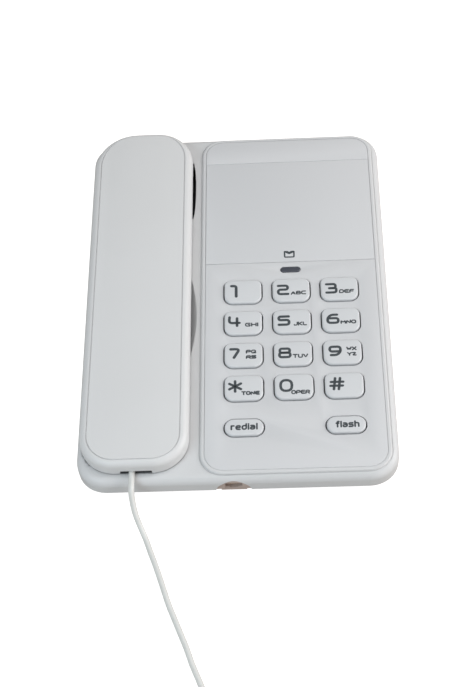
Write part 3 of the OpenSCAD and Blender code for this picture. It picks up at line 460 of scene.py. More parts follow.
def levelled(bm):
    # turned so that the deck lies level
    bmesh.ops.transform(bm, matrix=deckTurn.inverted(), verts=bm.verts)
    return bm


def softenedCopy(name, node, width, where):
    bm = mergedCopy(node)
    toLevel = deckTurn.inverted()
    tests = {
        None: None,
        "foot": lambda p: p.z < softenedHeights["foot"] * mm,
        "cap": lambda p: (toLevel @ p).z < deckTop - softenedHeights["cap"] * mm,
    }
    bevelEdges(bm, sharpEdges(bm, softAngle, tests[where]), width * mm, steps=2)
    addPiece(name, bm, bodyOf(node), slotMaterials[slotOf[node]], [node])


for name, settings in softened.items():
    softenedCopy(name, *settings)
print("softened copies made:", len(softened))


# ---- top housing

housingSettings = {
    "edge": 0.35,
    # black painted shade in the ear pocket: how far below the deck it starts, and half its length
    "pocketShadeFrom": 0.3,
    "pocketShadeHalf": 22.5,
    # the crescent beside the handset: from the handset's side, half its length, how far it is drawn in,
    # how blunt its ends are, and the share of its length that is kept
    "crescent": (-0.6, 2.2),
    "crescentHalf": 21.5,
    "crescentIn": 0.5,
    "crescentBlunt": 0.36,
    "crescentShort": 0.86,
    # the shadow gap sunk into the deck under the handset's rim: inset, width, depth, corner
    "gap": (0.12, 1.7, 1.0, 17),
}


def addHousing(s):
    # the housing with its edges softened, black painted shade in the ear pocket and its crescent drawn in a
    # little
    bm = levelled(mergedCopy("base_top_housing"))

    def onTop(p):
        # on the deck or on the panel's border
        return min(abs(p.z - deckTop), abs(p.z - deckTop - plateRise)) < hair

    bevelEdges(bm, sharpEdges(bm, softAngle, onTop), s["edge"] * mm, steps=2)
    earX, earY = middle(*deckBox("earpiece_receiver"))
    side = deckBox("handset_back_shell")[1].x
    near, far = side + s["crescent"][0] * mm, side + s["crescent"][1] * mm
    for v in bm.verts:
        if near < v.co.x < far and abs(v.co.y - earY) < s["crescentHalf"] * mm:
            reach = ((v.co.x - near) / (far - near)) ** s["crescentBlunt"]
            v.co.x = near + reach * (far - near - s["crescentIn"] * mm)
            v.co.y = earY + (v.co.y - earY) * s["crescentShort"]
    # the faces deep in the ear pocket get the black material: painted shade where the hollow under the
    # handset is dark
    for f in bm.faces:
        if all(v.co.z < deckTop - s["pocketShadeFrom"] * mm and abs(v.co.y - earY) < s["pocketShadeHalf"] * mm
               and 2 * earX - far < v.co.x < far for v in f.verts):
            f.material_index = 1
    low, high = deckBox("handset_back_shell")
    x, y = middle(low, high)
    inset, wide, deep, corner = (v * mm for v in s["gap"])

    def gapBlock(shrunk, depth):
        return roundedBlock(high.x - low.x - 2 * shrunk, high.y - low.y - 2 * shrunk, corner - shrunk,
                            deckTop - depth, deckTop + 2 * mm, cornerSteps=12)

    ring = carve(gapBlock(inset, deep), [gapBlock(inset + wide, deep + mm)])
    bm = carve(bm, [moved(ring, x, y)])
    piece = addPiece("top_housing", bm, "base", shellPlastic, ["base_top_housing"], deckTurn,
                     second=blackPlastic)
    even = piece.modifiers.new("evenNormals", "WEIGHTED_NORMAL")
    even.keep_sharp = True


rimSettings = {
    "out": 1.9,
    "inside": 0.12,
    "round": 0.85,
    "low": 0.2,
}


def addPanelRim(s, plateCorner):
    # the rounded rim round the face plate
    low, high = deckBox("keypad_faceplate")
    x, y = middle(low, high)
    width, length = high.x - low.x, high.y - low.y
    out, inside, corner = s["out"] * mm, s["inside"] * mm, plateCorner * mm
    bm = roundedBlock(width + 2 * out, length + 2 * out, corner + out, deckTop - s["low"] * mm, high.z,
                      rim=s["round"] * mm, cornerSteps=12, rimSteps=5)
    hole = roundedBlock(width + 2 * inside, length + 2 * inside, corner + inside, low.z - 2 * mm, high.z + mm,
                        cornerSteps=12)
    addPiece("panel_rim", carve(bm, [hole]), "base", shellPlastic, place=deckPlace(x, y))


# ---- keys and what is printed on them

keySettings = {
    "corners": (4.3, 4.3, 3.1, 3.1),
    "rim": 0.8,
    "flange": 1.2,
    "flangeHigh": 0.8,
    "post": 2.6,
    "postLong": 1.5,
    "postSides": 24,
    "pillShare": 0.65,    # a key whose length is less than this share of its width is pill-shaped
}


def keyOutline(s, node, grown):
    # width, length and corner radii of a key's outline, grown by some millimetres
    low, high = deckBox(node)
    spare = (s["flange"] - grown) * mm
    width, length = high.x - low.x - 2 * spare, high.y - low.y - 2 * spare
    if length < s["pillShare"] * width:
        return width, length, length / 2 - hair
    return width, length, [(r + grown) * mm for r in s["corners"]]


def addKey(s, node):
    low, high = deckBox(node)
    width, length, radii = keyOutline(s, node, s["flange"])
    flangeLow = low.z + s["postLong"] * mm
    flangeTop = flangeLow + s["flangeHigh"] * mm
    bm = roundedBlock(width, length, radii, flangeLow, flangeTop)
    stepped(bm, levelFace(bm, flangeTop), s["flange"] * mm, high.z - flangeTop)
    bevelEdges(bm, levelFace(bm, high.z)[0].edges[:], s["rim"] * mm, steps=5)
    post = bmesh.new()
    bmesh.ops.create_cone(post, cap_ends=True, segments=s["postSides"], radius1=s["post"] * mm,
                          radius2=s["post"] * mm, depth=s["postLong"] * mm)
    joinInto(bm, moved(post, 0, 0, low.z + s["postLong"] * mm / 2))
    # the flange and the post take the dark rubber: painted shade in the gap round the key
    for f in bm.faces:
        if all(v.co.z < flangeTop + hair for v in f.verts):
            f.material_index = 1
    addPiece(node + "_cap", bm, bodyOf(node), keyPlastic, [node],
             deckPlace(*middle(low, high)), second=rubber)


# the strokes of the lettering on a grid, each stroke a row of x y pairs; their corners are rounded later
strokes = {
    "0": "0 0 6 0 6 6 0 6 0 0", "1": "0 6 3 6 3 0", "2": "0 6 6 6 6 3.2 0 3.2 0 0 6.2 0",
    "3": "0 6 5.8 6 5.8 3.1 1.8 3.1|4 3.1 6.2 3.1 6.2 0 0 0", "4": "0.4 6 0 2 6.8 2|5.2 5.2 5.2 0",
    "5": "6 6 0 6 0 3.4 6.2 3.4 6.2 0 0 0", "6": "5.4 6 2 6 0 3.8 0 0 6 0 6 3.4 0.2 3.4",
    "7": "0 6 6 6 2.2 0", "8": "0.3 3.1 0.3 6 5.7 6 5.7 3.1 0.3 3.1|0 0 0 3.1 6 3.1 6 0 0 0",
    "9": "0.6 0 4 0 6 2.2 6 6 0 6 0 2.6 5.8 2.6", "*": "3 6 3 0|0.2 4.6 5.8 1.4|0.2 1.4 5.8 4.6",
    "#": "2.4 6 1.6 0|4.8 6 4 0|0.3 4 6.3 4|0 1.9 6 1.9",
    "A": "0 0 2 4 4 0|0.9 1.3 3.1 1.3", "B": "0 0 0 4 3.7 4 3.7 2.1 0 2.1|3 2.1 4 2.1 4 0 0 0",
    "C": "4 4 0 4 0 0 4 0", "D": "0 0.2 0 4 4 4 4 0 0 0", "E": "4 4 0 4 0 0 4 0|0 2 3.6 2",
    "F": "4 4 0 4 0 0|0 1.9 3.4 1.9", "G": "4 4 0 4 0 0 4 0 4 2 2.2 2", "H": "0 4 0 0|4 4 4 0|0 2 4 2",
    "I": "0 4 0 0", "J": "3.4 4 3.4 0 0 0 0 1", "K": "0 4 0 0|3.8 4 0.6 2 4 0", "L": "0 4 0 0 3.6 0",
    "M": "0 0 0 4 2.2 1.2 4.4 4 4.4 0", "N": "0 0 0 4 4 0 4 4", "O": "0 0 4 0 4 4 0 4 0 0",
    "P": "0 0 0 4 4 4 4 1.7 0 1.7", "Q": "0 0 4 0 4 4 0 4 0 0|2.6 1.2 4.2 0",
    "R": "0 0 0 4 4 4 4 1.7 0 1.7|2.2 1.7 4 0", "S": "4 4 0 4 0 2.1 4 2.1 4 0 0 0", "T": "0 4 4 4|2 4 2 0",
    "U": "0 4 0 0 4 0 4 4", "V": "0 4 2 0 4 4", "W": "0 4 1.2 0 2.4 3.2 3.6 0 4.8 4", "X": "0 4 4 0|0 0 4 4",
    "Y": "0 4 2 1.9 4 4|2 1.9 2 0", "Z": "0 4 4 4 0 0 4 0",
    "a": "0.2 3 2.6 3 2.6 0 0 0 0 1.6 2.6 1.6", "d": "2.6 4.4 2.6 0 0 0 0 3 2.6 3",
    "e": "0 1.55 2.6 1.55 2.6 3 0 3 0 0 2.5 0", "f": "1.5 4.4 0.5 4.4 0.5 0|-0.3 3 1.4 3",
    "h": "0 4.4 0 0|0 2.6 0.3 3 2.5 3 2.5 0", "i": "0 3 0 0|0 4.25 0 4.4", "l": "0 4.4 0 0",
    "r": "0 3 0 0|0 2.2 0.4 3 1.7 3", "s": "2.4 3 0 3 0 1.55 2.5 1.55 2.5 0 0 0",
    "envelope": "0 4 0 0 5.4 0 5.4 4|0 4 1.8 4 2.7 3 3.6 4 5.4 4|0.3 3.9 2.7 2.4 5.1 3.9",
}
lettering = {
    "space": 1.5,
    "fillet": 0.3,
    "arcSteps": 4,
    "thick": 0.035,
    "flatFrom": 0.2,
    "mergeWithin": 1e-5,
    "sharpFrom": 80,    # edges sharper than this stay crisp, in degrees
    # how a stroke ends: how far past its last point and how wide, as shares of half its width
    "ends": ((0.9, 0.4), (0.5, 0.86)),
}

# what is printed: words, then left, right, bottom and top from the key's middle, the stroke's width and,
# where it isn't the usual one, the rounding of the corners as a share of the height
keyLegends = {
    "key_1": [("1", -6.4, -2.6, -3.7, 4.0, 1.45)],
    "key_2": [("2", -7.0, -0.8, -3.1, 3.2, 1.35), ("ABC", -0.2, 7.4, -3.0, -0.7, 0.66)],
    "key_3": [("3", -7.0, -0.8, -3.1, 3.2, 1.35), ("DEF", -0.2, 7.3, -3.0, -0.7, 0.66)],
    "key_4": [("4", -7.6, -1.1, -2.5, 3.9, 1.35), ("GHI", 0.9, 7.4, -2.5, -0.2, 0.66)],
    "key_5": [("5", -7.1, -0.7, -2.7, 3.4, 1.4), ("JKL", 0.8, 7.3, -2.8, -0.5, 0.66)],
    "key_6": [("6", -7.1, -0.6, -2.5, 3.5, 1.35), ("MNO", -0.3, 7.4, -2.6, -0.3, 0.7)],
    "key_7": [("7", -6.9, -1.1, -2.3, 3.9, 1.4), ("PQ", 1.1, 6.2, 0.5, 2.7, 0.7),
              ("RS", 1.1, 6.2, -2.5, -0.4, 0.7)],
    "key_8": [("8", -7.2, -0.6, -2.8, 3.3, 1.35), ("TUV", -0.2, 7.3, -2.8, -0.5, 0.66)],
    "key_9": [("9", -6.8, -0.3, -2.5, 3.5, 1.35), ("WX", 1.8, 6.8, 0.5, 2.7, 0.7),
              ("YZ", 2.1, 6.7, -2.5, -0.4, 0.7)],
    "key_star": [("*", -7.5, -0.7, -2.7, 4.3, 1.3), ("TONE", -1.2, 7.6, -4.1, -1.9, 0.7)],
    "key_0": [("0", -7.0, -0.3, -3.1, 4.1, 1.35, 0.42), ("OPER", -1.4, 7.5, -4.4, -2.1, 0.66)],
    "key_hash": [("#", -7.2, 0.2, -3.0, 4.3, 1.3)],
    "key_redial": [("redial", -6.4, 6.4, -1.7, 1.9, 0.85, 0.42)],
    "key_flash": [("flash", -5.1, 6.1, -1.85, 1.75, 0.85, 0.42)],
}


def roundCorners(points, radius, closed):
    # a row of points with an arc in place of each corner
    made = [] if closed else [points[0]]
    if closed:
        points = points[-2:-1] + points
    for a, b, c in zip(points, points[1:], points[2:]):
        back, on = a - b, c - b
        reach = min(radius, back.length / 2, on.length / 2)
        start, end = b + back.normalized() * reach, b + on.normalized() * reach
        for k in range(lettering["arcSteps"] + 1):
            t = k / lettering["arcSteps"]
            made.append(start * (1 - t) ** 2 + 2 * b * t * (1 - t) + end * t * t)
    return made if closed else made + [points[-1]]


def wordRows(words):
    # the strokes of some words, side by side on the lettering's grid
    rows = []
    x = 0.0
    for letter in [words] if words in strokes else words:
        made = []
        for row in strokes[letter].split("|"):
            numbers = [float(n) for n in row.split()]
            made.append([Vector((numbers[i] + x, numbers[i + 1])) for i in range(0, len(numbers), 2)])
        rows += made
        x = max(p.x for row in made for p in row) + lettering["space"]
    return rows


def addStrokes(curve, words, left, right, bottom, top, width, fillet=lettering["fillet"]):
    # the strokes of some words, fitted to a box, with ends that taper to a round
    rows = wordRows(words)
    xs = [p.x for row in rows for p in row]
    ys = [p.y for row in rows for p in row]
    half = width / 2
    across = (right - left - width) / max(max(xs) - min(xs), 0.01)
    upward = (top - bottom - width) / (max(ys) - min(ys))
    for row in rows:
        points = [Vector(((p.x - min(xs)) * across + left + half, (p.y - min(ys)) * upward + bottom + half))
                  for p in row]
        closed = (points[0] - points[-1]).length < 1e-6
        points = roundCorners(points, fillet * (top - bottom), closed)
        radii = [half] * len(points)
        if not closed:
            head = (points[0] - points[1]).normalized() * half
            foot = (points[-1] - points[-2]).normalized() * half
            ends = lettering["ends"]
            points = ([points[0] + head * past for past, wide in ends] + points
                      + [points[-1] + foot * past for past, wide in reversed(ends)])
            radii = ([half * wide for past, wide in ends] + radii
                     + [half * wide for past, wide in reversed(ends)])
        spline = curve.splines.new("POLY")
        spline.points.add(len(points) - 1)
        spline.use_cyclic_u = closed
        for made, point, radius in zip(spline.points, points, radii):
            made.co = (*point, 0, 1)
            made.radius = radius


def printInk(name, rows, body, place):
    # lettering as ink that stands a hair above the surface
    curve = bpy.data.curves.new(name, "CURVE")
    curve.dimensions = "3D"
    curve.bevel_depth = 1.0
    curve.bevel_resolution = 2
    curve.use_fill_caps = True
    curve.twist_mode = "Z_UP"
    for row in rows:
        addStrokes(curve, *row)
    holder = bpy.data.objects.new(name + "_line", curve)
    scene.collection.objects.link(holder)
    mesh = bpy.data.meshes.new_from_object(holder.evaluated_get(bpy.context.evaluated_depsgraph_get()))
    bm = bmesh.new()
    bm.from_mesh(mesh)
    bpy.data.meshes.remove(mesh)
    bpy.data.objects.remove(holder)
    bpy.data.curves.remove(curve)
    bmesh.ops.remove_doubles(bm, verts=bm.verts, dist=lettering["mergeWithin"])
    for v in bm.verts:
        share = min(1.0, abs(v.co.z) / lettering["flatFrom"])
        v.co.z = math.copysign(lettering["thick"] * share, v.co.z)
    bmesh.ops.scale(bm, vec=(mm, mm, mm), verts=bm.verts)
    bmesh.ops.recalc_face_normals(bm, faces=bm.faces)
    addPiece(name, bm, body, ink, place=place, sharp=lettering["sharpFrom"])


for node, rows in keyLegends.items():
    addKey(keySettings, node)
    low, high = deckBox(node)
    printInk(node + "_legend", rows, bodyOf(node), deckPlace(*middle(low, high), high.z))
print("keys and legends made:", len(keyLegends))


# ---- face plate, name plate and lamp

plateSettings = {
    "corner": 8.8,
    "edge": 0.22,
    "edgeAngle": 60,    # edges sharper than this are rounded, in degrees
    "holeGap": 0.6,
    "holeFar": 0.3,
    "lampHole": 1.8,
    "seam": 0.15,
    "nameCorner": 0.15,
    "nameRim": 0.14,
    "symbolUp": 4.5,
    "symbolLeft": 0.3,
    "symbolSize": (5.5, 4.2),
    "symbolLine": 0.8,
    "symbolFillet": 0.12,
}


def addFacePlate(s):
    # the face plate with its holes for keys, lamp and name plate
    low, high = deckBox("keypad_faceplate")
    x, y = middle(low, high)
    bm = roundedBlock(high.x - low.x, high.y - low.y, s["corner"] * mm, low.z, high.z)
    through = (low.z - mm, high.z + mm)
    cutters = []
    for node in keyLegends:
        width, length, radii = keyOutline(keySettings, node, s["holeGap"])
        kx, ky = middle(*deckBox(node))
        if length > keySettings["pillShare"] * width:
            shut = (s["holeGap"] - s["holeFar"]) * mm
            length, ky = length - shut, ky - shut / 2
        cutters.append(moved(roundedBlock(width, length, radii, *through), kx - x, ky - y))
    lampLow, lampHigh = deckBox("lamp_lens")
    lx, ly = middle(lampLow, lampHigh)
    width, length = (lampHigh[i] - lampLow[i] - s["lampHole"] * mm for i in range(2))
    cutters.append(moved(roundedBlock(width, length, length / 2 - hair, *through), lx - x, ly - y))
    nameLow, nameHigh = deckBox("name_plate")
    nameWide, nameLong, nameThick = nameHigh - nameLow
    nx, ny = middle(nameLow, nameHigh)
    cutters.append(moved(roundedBlock(2 * (high.x - low.x), nameLong + 2 * s["seam"] * mm, hair, nameLow.z,
                                      high.z + mm, cornerSteps=1), nx - x, ny - y))
    bm = carve(bm, cutters)
    bevelEdges(bm, sharpEdges(bm, s["edgeAngle"], lambda p: p.z > high.z - hair / 10), s["edge"] * mm,
               steps=3)
    addPiece("keypad_face", bm, bodyOf("keypad_faceplate"), panelPlastic,
             ["keypad_faceplate"], deckPlace(x, y))
    bm = roundedBlock(nameWide, nameLong, s["nameCorner"] * mm, nameLow.z, nameHigh.z,
                      rim=s["nameRim"] * mm, cornerSteps=2, rimSteps=3)
    addPiece("upper_plate", bm, bodyOf("name_plate"), panelPlastic, ["name_plate"],
             deckPlace(nx, ny))
    wide, tall = s["symbolSize"]
    printInk("message_symbol",
             [("envelope", -wide / 2, wide / 2, -tall / 2, tall / 2, s["symbolLine"], s["symbolFillet"])],
             bodyOf("name_plate"),
             deckPlace(nx - s["symbolLeft"] * mm, nameLow.y + s["symbolUp"] * mm, nameHigh.z))


lampSettings = {
    "collar": 1.0,
    "collarHigh": 0.8,
    "rim": 0.6,
}


def addLamp(s):
    # the message lamp's lens: a pill with a collar under the face plate
    low, high = deckBox("lamp_lens")
    width, length, tall = high - low
    collarTop = low.z + s["collarHigh"] * mm
    bm = roundedBlock(width, length, length / 2 - hair, low.z, collarTop)
    stepped(bm, levelFace(bm, collarTop), s["collar"] * mm, high.z - collarTop)
    bevelEdges(bm, levelFace(bm, high.z)[0].edges[:], s["rim"] * mm, steps=5)
    addPiece("message_lens", bm, bodyOf("lamp_lens"), lensPlastic, ["lamp_lens"],
             deckPlace(*middle(low, high)))


addHousing(housingSettings)
addPanelRim(rimSettings, plateSettings["corner"])
addFacePlate(plateSettings)
addLamp(lampSettings)
print("top housing, face plate and lamp made")


# ---- handset shell

handsetSettings = {
    "corners": (17, 17, 21.5, 18),
    "rim": 3.2,
    "faceUp": 9.2,
    "parting": 2.0,
    "wall": 2.0,
    "roof": 2.2,
    # how far the face falls to its sides, the strips that it is cut into for that, and the height of the fade
    "crown": 0.9,
    "crownStrips": 5,
    "crownStrip": 4,
    "crownFade": 4,
    "grooveIn": 3.5,
    "grooveNear": 2.9,
    "grooveWide": 0.5,
    "grooveDeep": 0.42,
    "grooveFar": 1.0,
    "grooveCorners": (13.5, 13.5, 20, 16.5),
    "slotMiddle": 1.3,
    "slotWide": 14.8,
    "slotLong": 20,
    "slotTop": 3.1,
    "slotCorner": 1.5,
    "slotRim": 0.6,
}


def addHandset(s):
    # the outer shell: hollow, its face crowned, with the fine groove round it and the slot for the cord
    low, high = deckBox("handset_back_shell")
    x, y = middle(low, high)
    width, length = high.x - low.x, high.y - low.y
    foot = high.z + (s["parting"] - s["faceUp"]) * mm
    bm = roundedBlock(width, length, [r * mm for r in s["corners"]], foot, high.z, rim=s["rim"] * mm,
                      cornerSteps=16, rimSteps=8)
    stepped(bm, levelFace(bm, foot), s["wall"] * mm, high.z - foot - s["roof"] * mm)

    def grooveBlock(inset, drop):
        wide = width - 2 * (s["grooveIn"] + inset) * mm
        long = length - (s["grooveNear"] + s["grooveFar"] + 2 * inset) * mm
        shift = (s["grooveNear"] - s["grooveFar"]) * mm / 2
        radii = [(r - inset) * mm for r in s["grooveCorners"]]
        return moved(roundedBlock(wide, long, radii, high.z - drop * mm, high.z + mm), 0, shift)

    ring = carve(grooveBlock(0, s["grooveDeep"]), [grooveBlock(s["grooveWide"], drop=2)])
    slot = roundedBlock(s["slotWide"] * mm, s["slotLong"] * mm, s["slotCorner"] * mm, foot - 5 * mm,
                        high.z + (s["slotTop"] - s["faceUp"]) * mm, rim=s["slotRim"] * mm, cornerSteps=3)
    bm = carve(bm, [ring, moved(slot, s["slotMiddle"] * mm, -length / 2)])
    for k in range(-s["crownStrips"], s["crownStrips"] + 1):
        bmesh.ops.bisect_plane(bm, geom=bm.verts[:] + bm.edges[:] + bm.faces[:], dist=level,
                               plane_co=(k * s["crownStrip"] * mm, 0, 0), plane_no=(1, 0, 0))
    for v in bm.verts:
        if v.co.z > foot + mm:
            share = min(1, (v.co.z - foot - mm) / (s["crownFade"] * mm))
            v.co.z -= s["crown"] * mm * (2 * v.co.x / width) ** 2 * share
    bmesh.ops.recalc_face_normals(bm, faces=bm.faces)
    addPiece("handset_outer_shell", bm, bodyOf("handset_back_shell"), handsetPlastic,
             ["handset_back_shell"], deckPlace(x, y))


addHandset(handsetSettings)
print("handset shell made")


# ---- sockets and plugs

def block(size, place, tilt=0.0):
    # a plain block, its size and place in millimetres
    bm = bmesh.new()
    bmesh.ops.create_cube(bm, size=1)
    turn = Matrix.Rotation(math.radians(tilt), 4, "X") @ Matrix.Diagonal((*(v * mm for v in size), 1))
    bmesh.ops.transform(bm, verts=bm.verts, matrix=Matrix.Translation(Vector(place) * mm) @ turn)
    return bm


def evenRow(count, pitch):
    return [(k - (count - 1) / 2) * pitch for k in range(count)]


def joinSecond(bm, others):
    # other meshes joined in as faces of the second material
    for other in others:
        for f in other.faces:
            f.material_index = 1
        joinInto(bm, other)


socketSettings = {
    "softened": 0.15,
    # the face in the notch: how high and deep the part of it is that is drawn down, and how far
    "face": (1.0, 3.0, 0.8),
    "wires": 4,
    "wirePitch": 1.02,
    "wire": (0.5, 6.0, 0.3),
    "wireTilt": 32,
    "wireIn": 3.0,
    # black blocks behind the slot in the handset's near end, painted shade: left, right, near, far, low, high
    "slotShadeFace": (-5.3, 9.2, 0.6, 6.5, 0.1, 2.95),
    "cordWay": 3.4,
}


def addBaseSocket(s):
    # the socket behind the notch in the front wall, its face drawn down to the base's foot
    bm = mergedCopy("base_handset_jack")
    bevelEdges(bm, sharpEdges(bm, softAngle), s["softened"] * mm, steps=2)
    foot = min(v.co.z for v in bm.verts)
    front = min(v.co.y for v in bm.verts)
    tall, deep, down = (v * mm for v in s["face"])
    for v in bm.verts:
        if v.co.z < foot + tall and v.co.y < front + deep:
            v.co.z -= down
    mouth = next(m for m in frame["record"]["mounts"] if m["name"] == "handset_socket")["pos_m"]
    wires = []
    for shift in evenRow(s["wires"], s["wirePitch"]):
        place = (mouth[0] / mm + shift, mouth[1] / mm + s["wireIn"], mouth[2] / mm)
        wires.append(block(s["wire"], place, s["wireTilt"]))
    joinSecond(bm, wires)
    addPiece("base_socket", bm, "base", jackPlastic, ["base_handset_jack"], second=gold)


def addHandsetSocket(s):
    # the handset's socket and the blocks behind the slot that its cord comes out of, all black: painted shade
    # in the slot
    bm = levelled(mergedCopy("handset_jack"))
    bevelEdges(bm, sharpEdges(bm, softAngle), s["softened"] * mm, steps=2)
    low, high = deckBox("handset_cord_plug")
    x = (low.x + high.x) / 2 / mm
    edge = deckBox("handset_back_shell")[0].y / mm
    left, right, near, far, foot, top = s["slotShadeFace"]
    half = s["cordWay"] / 2
    # black blocks either side of the cord behind the slot: painted shade
    for x0, x1 in ((x + left, x - half), (x + half, x + right)):
        joinInto(bm, block((x1 - x0, far - near, top - foot),
                           ((x0 + x1) / 2, edge + (near + far) / 2, deckTop / mm + (foot + top) / 2)))
    addPiece("handset_socket", bm, "handset", blackPlastic, ["handset_jack"], deckTurn)


plugSettings = {
    "softened": 0.08,
    "blades": 4,
    "bladePitch": 1.25,
    "blade": (0.42, 3.4, 0.55),
    "bladeIn": 0.25,
}


def addPlug(s, name, node, lie, under):
    # a clear plug with gold blades; lie tells how its box lies, under whether its blades face down
    bm = mergedCopy(node)
    bmesh.ops.transform(bm, matrix=lie.inverted(), verts=bm.verts)
    low = Vector([min(v.co[i] for v in bm.verts) for i in range(3)]) / mm
    high = Vector([max(v.co[i] for v in bm.verts) for i in range(3)]) / mm
    bevelEdges(bm, sharpEdges(bm, softAngle), s["softened"] * mm, steps=1)
    wide, long, tall = s["blade"]
    y = low.y + long / 2 + s["bladeIn"] if under else high.y - long / 2 - s["bladeIn"]
    z = low.z + tall / 2 + s["bladeIn"] if under else high.z - tall / 2 - s["bladeIn"]
    joinSecond(bm, [block(s["blade"], ((low.x + high.x) / 2 + shift, y, z))
                    for shift in evenRow(s["blades"], s["bladePitch"])])
    addPiece(name, bm, bodyOf(node), clearPlastic, [node], lie, second=gold)


addBaseSocket(socketSettings)
addHandsetSocket(socketSettings)
addPlug(plugSettings, "handset_plug", "handset_cord_plug", deckTurn, False)
addPlug(plugSettings, "loose_plug", "base_cord_plug", Matrix.Identity(4), True)
print("sockets and plugs made")


# ---- cord

cordSettings = {
    "thickness": 2.8,
    "curlRadius": 3.5,
    "curlPitch": 3.8,
    "curls": 75,
    "ringRadius": 56,
    "ringCentre": (-12, -265),
    "ringStart": 75,
    "stepsPerCurl": 16,
    "endStretch": 6.0,
    "sides": 12,
    "sharpFrom": 60,       # edges sharper than this stay crisp, in degrees
    "groove": 0.13,
    "exitUnderPlug": 3,    # the cord's axis under the plug's top
    "firstStretch": (0, 5, 10, 13.5),
    # the leader's points from the handset to the curls, past the deck's edge
    "leader": [(-48.1, -110.5, 14), (-47.1, -114.5, 9.5), (-45.2, -118.5, 5), (-42.8, -123.5, 2.2),
               (-40.6, -129.5, 1.4), (-38.2, -136, 1.4), (-35.8, -143, 1.4), (-33.5, -150, 1.4),
               (-31.2, -157, 1.4), (-28.4, -164, 1.4), (-25.6, -171, 1.4), (-22.8, -178, 1.4),
               (-20.4, -185, 1.4), (-17.5, -192, 1.4), (-14.5, -199, 1.4), (-10.5, -205, 1.4)],
    "tail": [(-50, -224, 1.4), (-44, -222.5, 1.4), (-37.5, -224.5, 1.4), (-32.5, -230, 1.4),
             (-30.5, -237, 1.4), (-30, -244, 1.4), (-29.5, -251, 1.6), (-29, -258, 2.4),
             (-29, -263, 3), (-29, -267, 3)],
    # how far the coil's first and last points lie from the straight stretches beside them
    "coilLead": (4, 3),
    "goesOver": (13, 3),
}


def cordPath(s):
    # centre points in millimetres: the leader, the curls round their ring and the tail to the plug
    plugLow, plugHigh = deckBox("handset_cord_plug")
    exitX = (plugLow.x + plugHigh.x) / 2 / mm
    exitY = plugLow.y / mm
    axisZ = plugHigh.z / mm - s["exitUnderPlug"]
    turn = s["curls"] * s["curlPitch"] / s["ringRadius"]
    start = math.radians(s["ringStart"])
    centre = Vector((*s["ringCentre"], s["thickness"] / 2))

    def onRing(angle):
        return centre + s["ringRadius"] * Vector((math.cos(angle), math.sin(angle), 0))

    def along(angle):
        return Vector((math.sin(angle), -math.cos(angle), 0))

    def swell(t):
        # how far the curls have opened at the curl t
        x = min(1, t, s["curls"] - t)
        return x * x * (3 - 2 * x)

    def gone(t):
        # the share of the ring behind the curl t; the first and the last curl are drawn out
        curls, k = s["curls"], s["endStretch"] / 3
        ends = 1 - (1 - min(t, 1)) ** 3 + max(0, t - curls + 1) ** 3
        return (t + k * ends) / (curls + 2 * k)

    coilIn = onRing(start) - s["thickness"] * along(start)
    coilOut = onRing(start - turn) + s["thickness"] * along(start - turn)
    points = [deckTurn @ Vector((exitX, exitY - step, axisZ)) for step in s["firstStretch"]]
    points += [Vector(p) for p in s["leader"]]
    points += [coilIn - s["coilLead"][0] * along(start), coilIn]
    for i in range(s["curls"] * s["stepsPerCurl"] + 1):
        t = i / s["stepsPerCurl"]
        angle = start - turn * gone(t)
        spin = 2 * math.pi * t + math.pi / 2
        out = Vector((math.cos(angle) * math.cos(spin), math.sin(angle) * math.cos(spin), math.sin(spin)))
        points.append(onRing(angle) + s["curlRadius"] * swell(t) * (Vector((0, 0, 1)) + out))
    points += [coilOut, coilOut + s["coilLead"][1] * along(start - turn)]
    points += [Vector(p) for p in s["tail"]]
    return points


def smoothPath(points, share=3):
    # more points on a smooth curve through the given ones (Catmull-Rom)
    made = []
    for i in range(len(points) - 1):
        a, b, c, d = (points[max(0, min(len(points) - 1, i + k))] for k in (-1, 0, 1, 2))
        for k in range(share):
            t = k / share
            made.append(0.5 * (2 * b + (c - a) * t + (2 * a - 5 * b + 4 * c - d) * t * t
                               + (3 * b - a - 3 * c + d) * t ** 3))
    return made + [points[-1]]


def sweepCord(path, radius, sides, groove):
    # a tube with two shallow lengthwise grooves beside its crown, as on a four-wire cord
    bm = bmesh.new()
    rings = []
    tangent = (path[1] - path[0]).normalized()
    side = tangent.cross(Vector((0, 0, 1))).normalized()
    for i, point in enumerate(path):
        ahead = (path[min(i + 1, len(path) - 1)] - path[max(i - 1, 0)]).normalized()
        side = tangent.rotation_difference(ahead) @ side
        side = (side - side.dot(ahead) * ahead).normalized()
        tangent = ahead
        up = side.cross(tangent)
        ring = []
        for k in range(sides):
            a = 2 * math.pi * k / sides
            reach = radius * (1 - groove) if k in (1, sides - 1) else radius
            ring.append(bm.verts.new(point + reach * (math.cos(a) * up + math.sin(a) * side)))
        rings.append(ring)
    for a, b in zip(rings, rings[1:]):
        for k in range(sides):
            bm.faces.new((a[k], a[(k + 1) % sides], b[(k + 1) % sides], b[k]))
    bm.faces.new(rings[0][::-1])
    bm.faces.new(rings[-1])
    bmesh.ops.recalc_face_normals(bm, faces=bm.faces)
    return bm


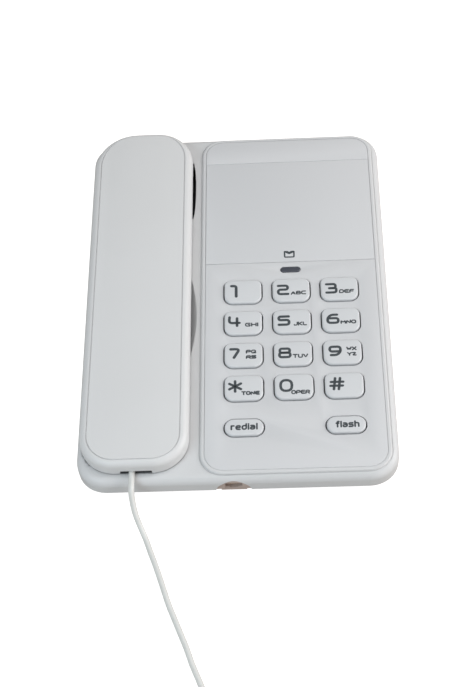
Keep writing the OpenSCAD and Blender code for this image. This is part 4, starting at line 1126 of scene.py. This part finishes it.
def pathLength(path):
    return sum((b - a).length for a, b in zip(path, path[1:]))


def addCord(s):
    points = cordPath(s)
    cut = len(s["firstStretch"]) + len(s["leader"]) + 2
    end = len(s["tail"]) + 2
    path = smoothPath(points[:cut])[:-1] + points[cut - 1:-end] + smoothPath(points[-end:])
    path = [p * mm for p in path]
    bm = sweepCord(path, s["thickness"] / 2 * mm, s["sides"], s["groove"])
    cord = addPiece("handset_cord", bm, "base", cordJacket, sharp=s["sharpFrom"])
    cord.parent = None
    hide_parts("cord_leader", "cord_coil", "cord_tail")
    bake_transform(cord)
    print("cord length", round(pathLength(path), 3))


addCord(cordSettings)


# ---- floor

floorSettings = {"colour": (0.52, 0.49, 0.46, 1), "roughness": 0.9, "glow": 0.9, "reach": 3.0}


def addFloor(s):
    # a pale sweep, lit up for the camera, also through clear parts, so that only a breath of shadow is left
    material, tree, shader = newMaterial("paleFloor", Base_Color=s["colour"], Roughness=s["roughness"])
    glow = addNode(tree, "ShaderNodeEmission", {"Strength": s["glow"]})
    path = addNode(tree, "ShaderNodeLightPath")
    rays = {0: path.outputs["Is Camera Ray"], 1: path.outputs["Is Transmission Ray"]}
    seen = addNode(tree, "ShaderNodeMath", rays, operation="MAXIMUM").outputs[0]
    dark = addNode(tree, "ShaderNodeEmission", {"Strength": 0.0})
    lit = addNode(tree, "ShaderNodeMixShader", {0: seen, 1: dark.outputs[0], 2: glow.outputs[0]})
    both = addNode(tree, "ShaderNodeAddShader", {0: shader.outputs[0], 1: lit.outputs[0]})
    tree.links.new(both.outputs[0], tree.nodes["Material Output"].inputs["Surface"])
    bm = bmesh.new()
    bmesh.ops.create_grid(bm, x_segments=1, y_segments=1, size=s["reach"])
    data = bpy.data.meshes.new("floor")
    bm.to_mesh(data)
    bm.free()
    data.materials.append(material)
    floor = bpy.data.objects.new("floor", data)
    scene.collection.objects.link(floor)
    floor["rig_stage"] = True


addFloor(floorSettings)


# ---- size and finish

low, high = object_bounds()
print("visual box", [round(x / mm, 1) for x in (*low, *high)])
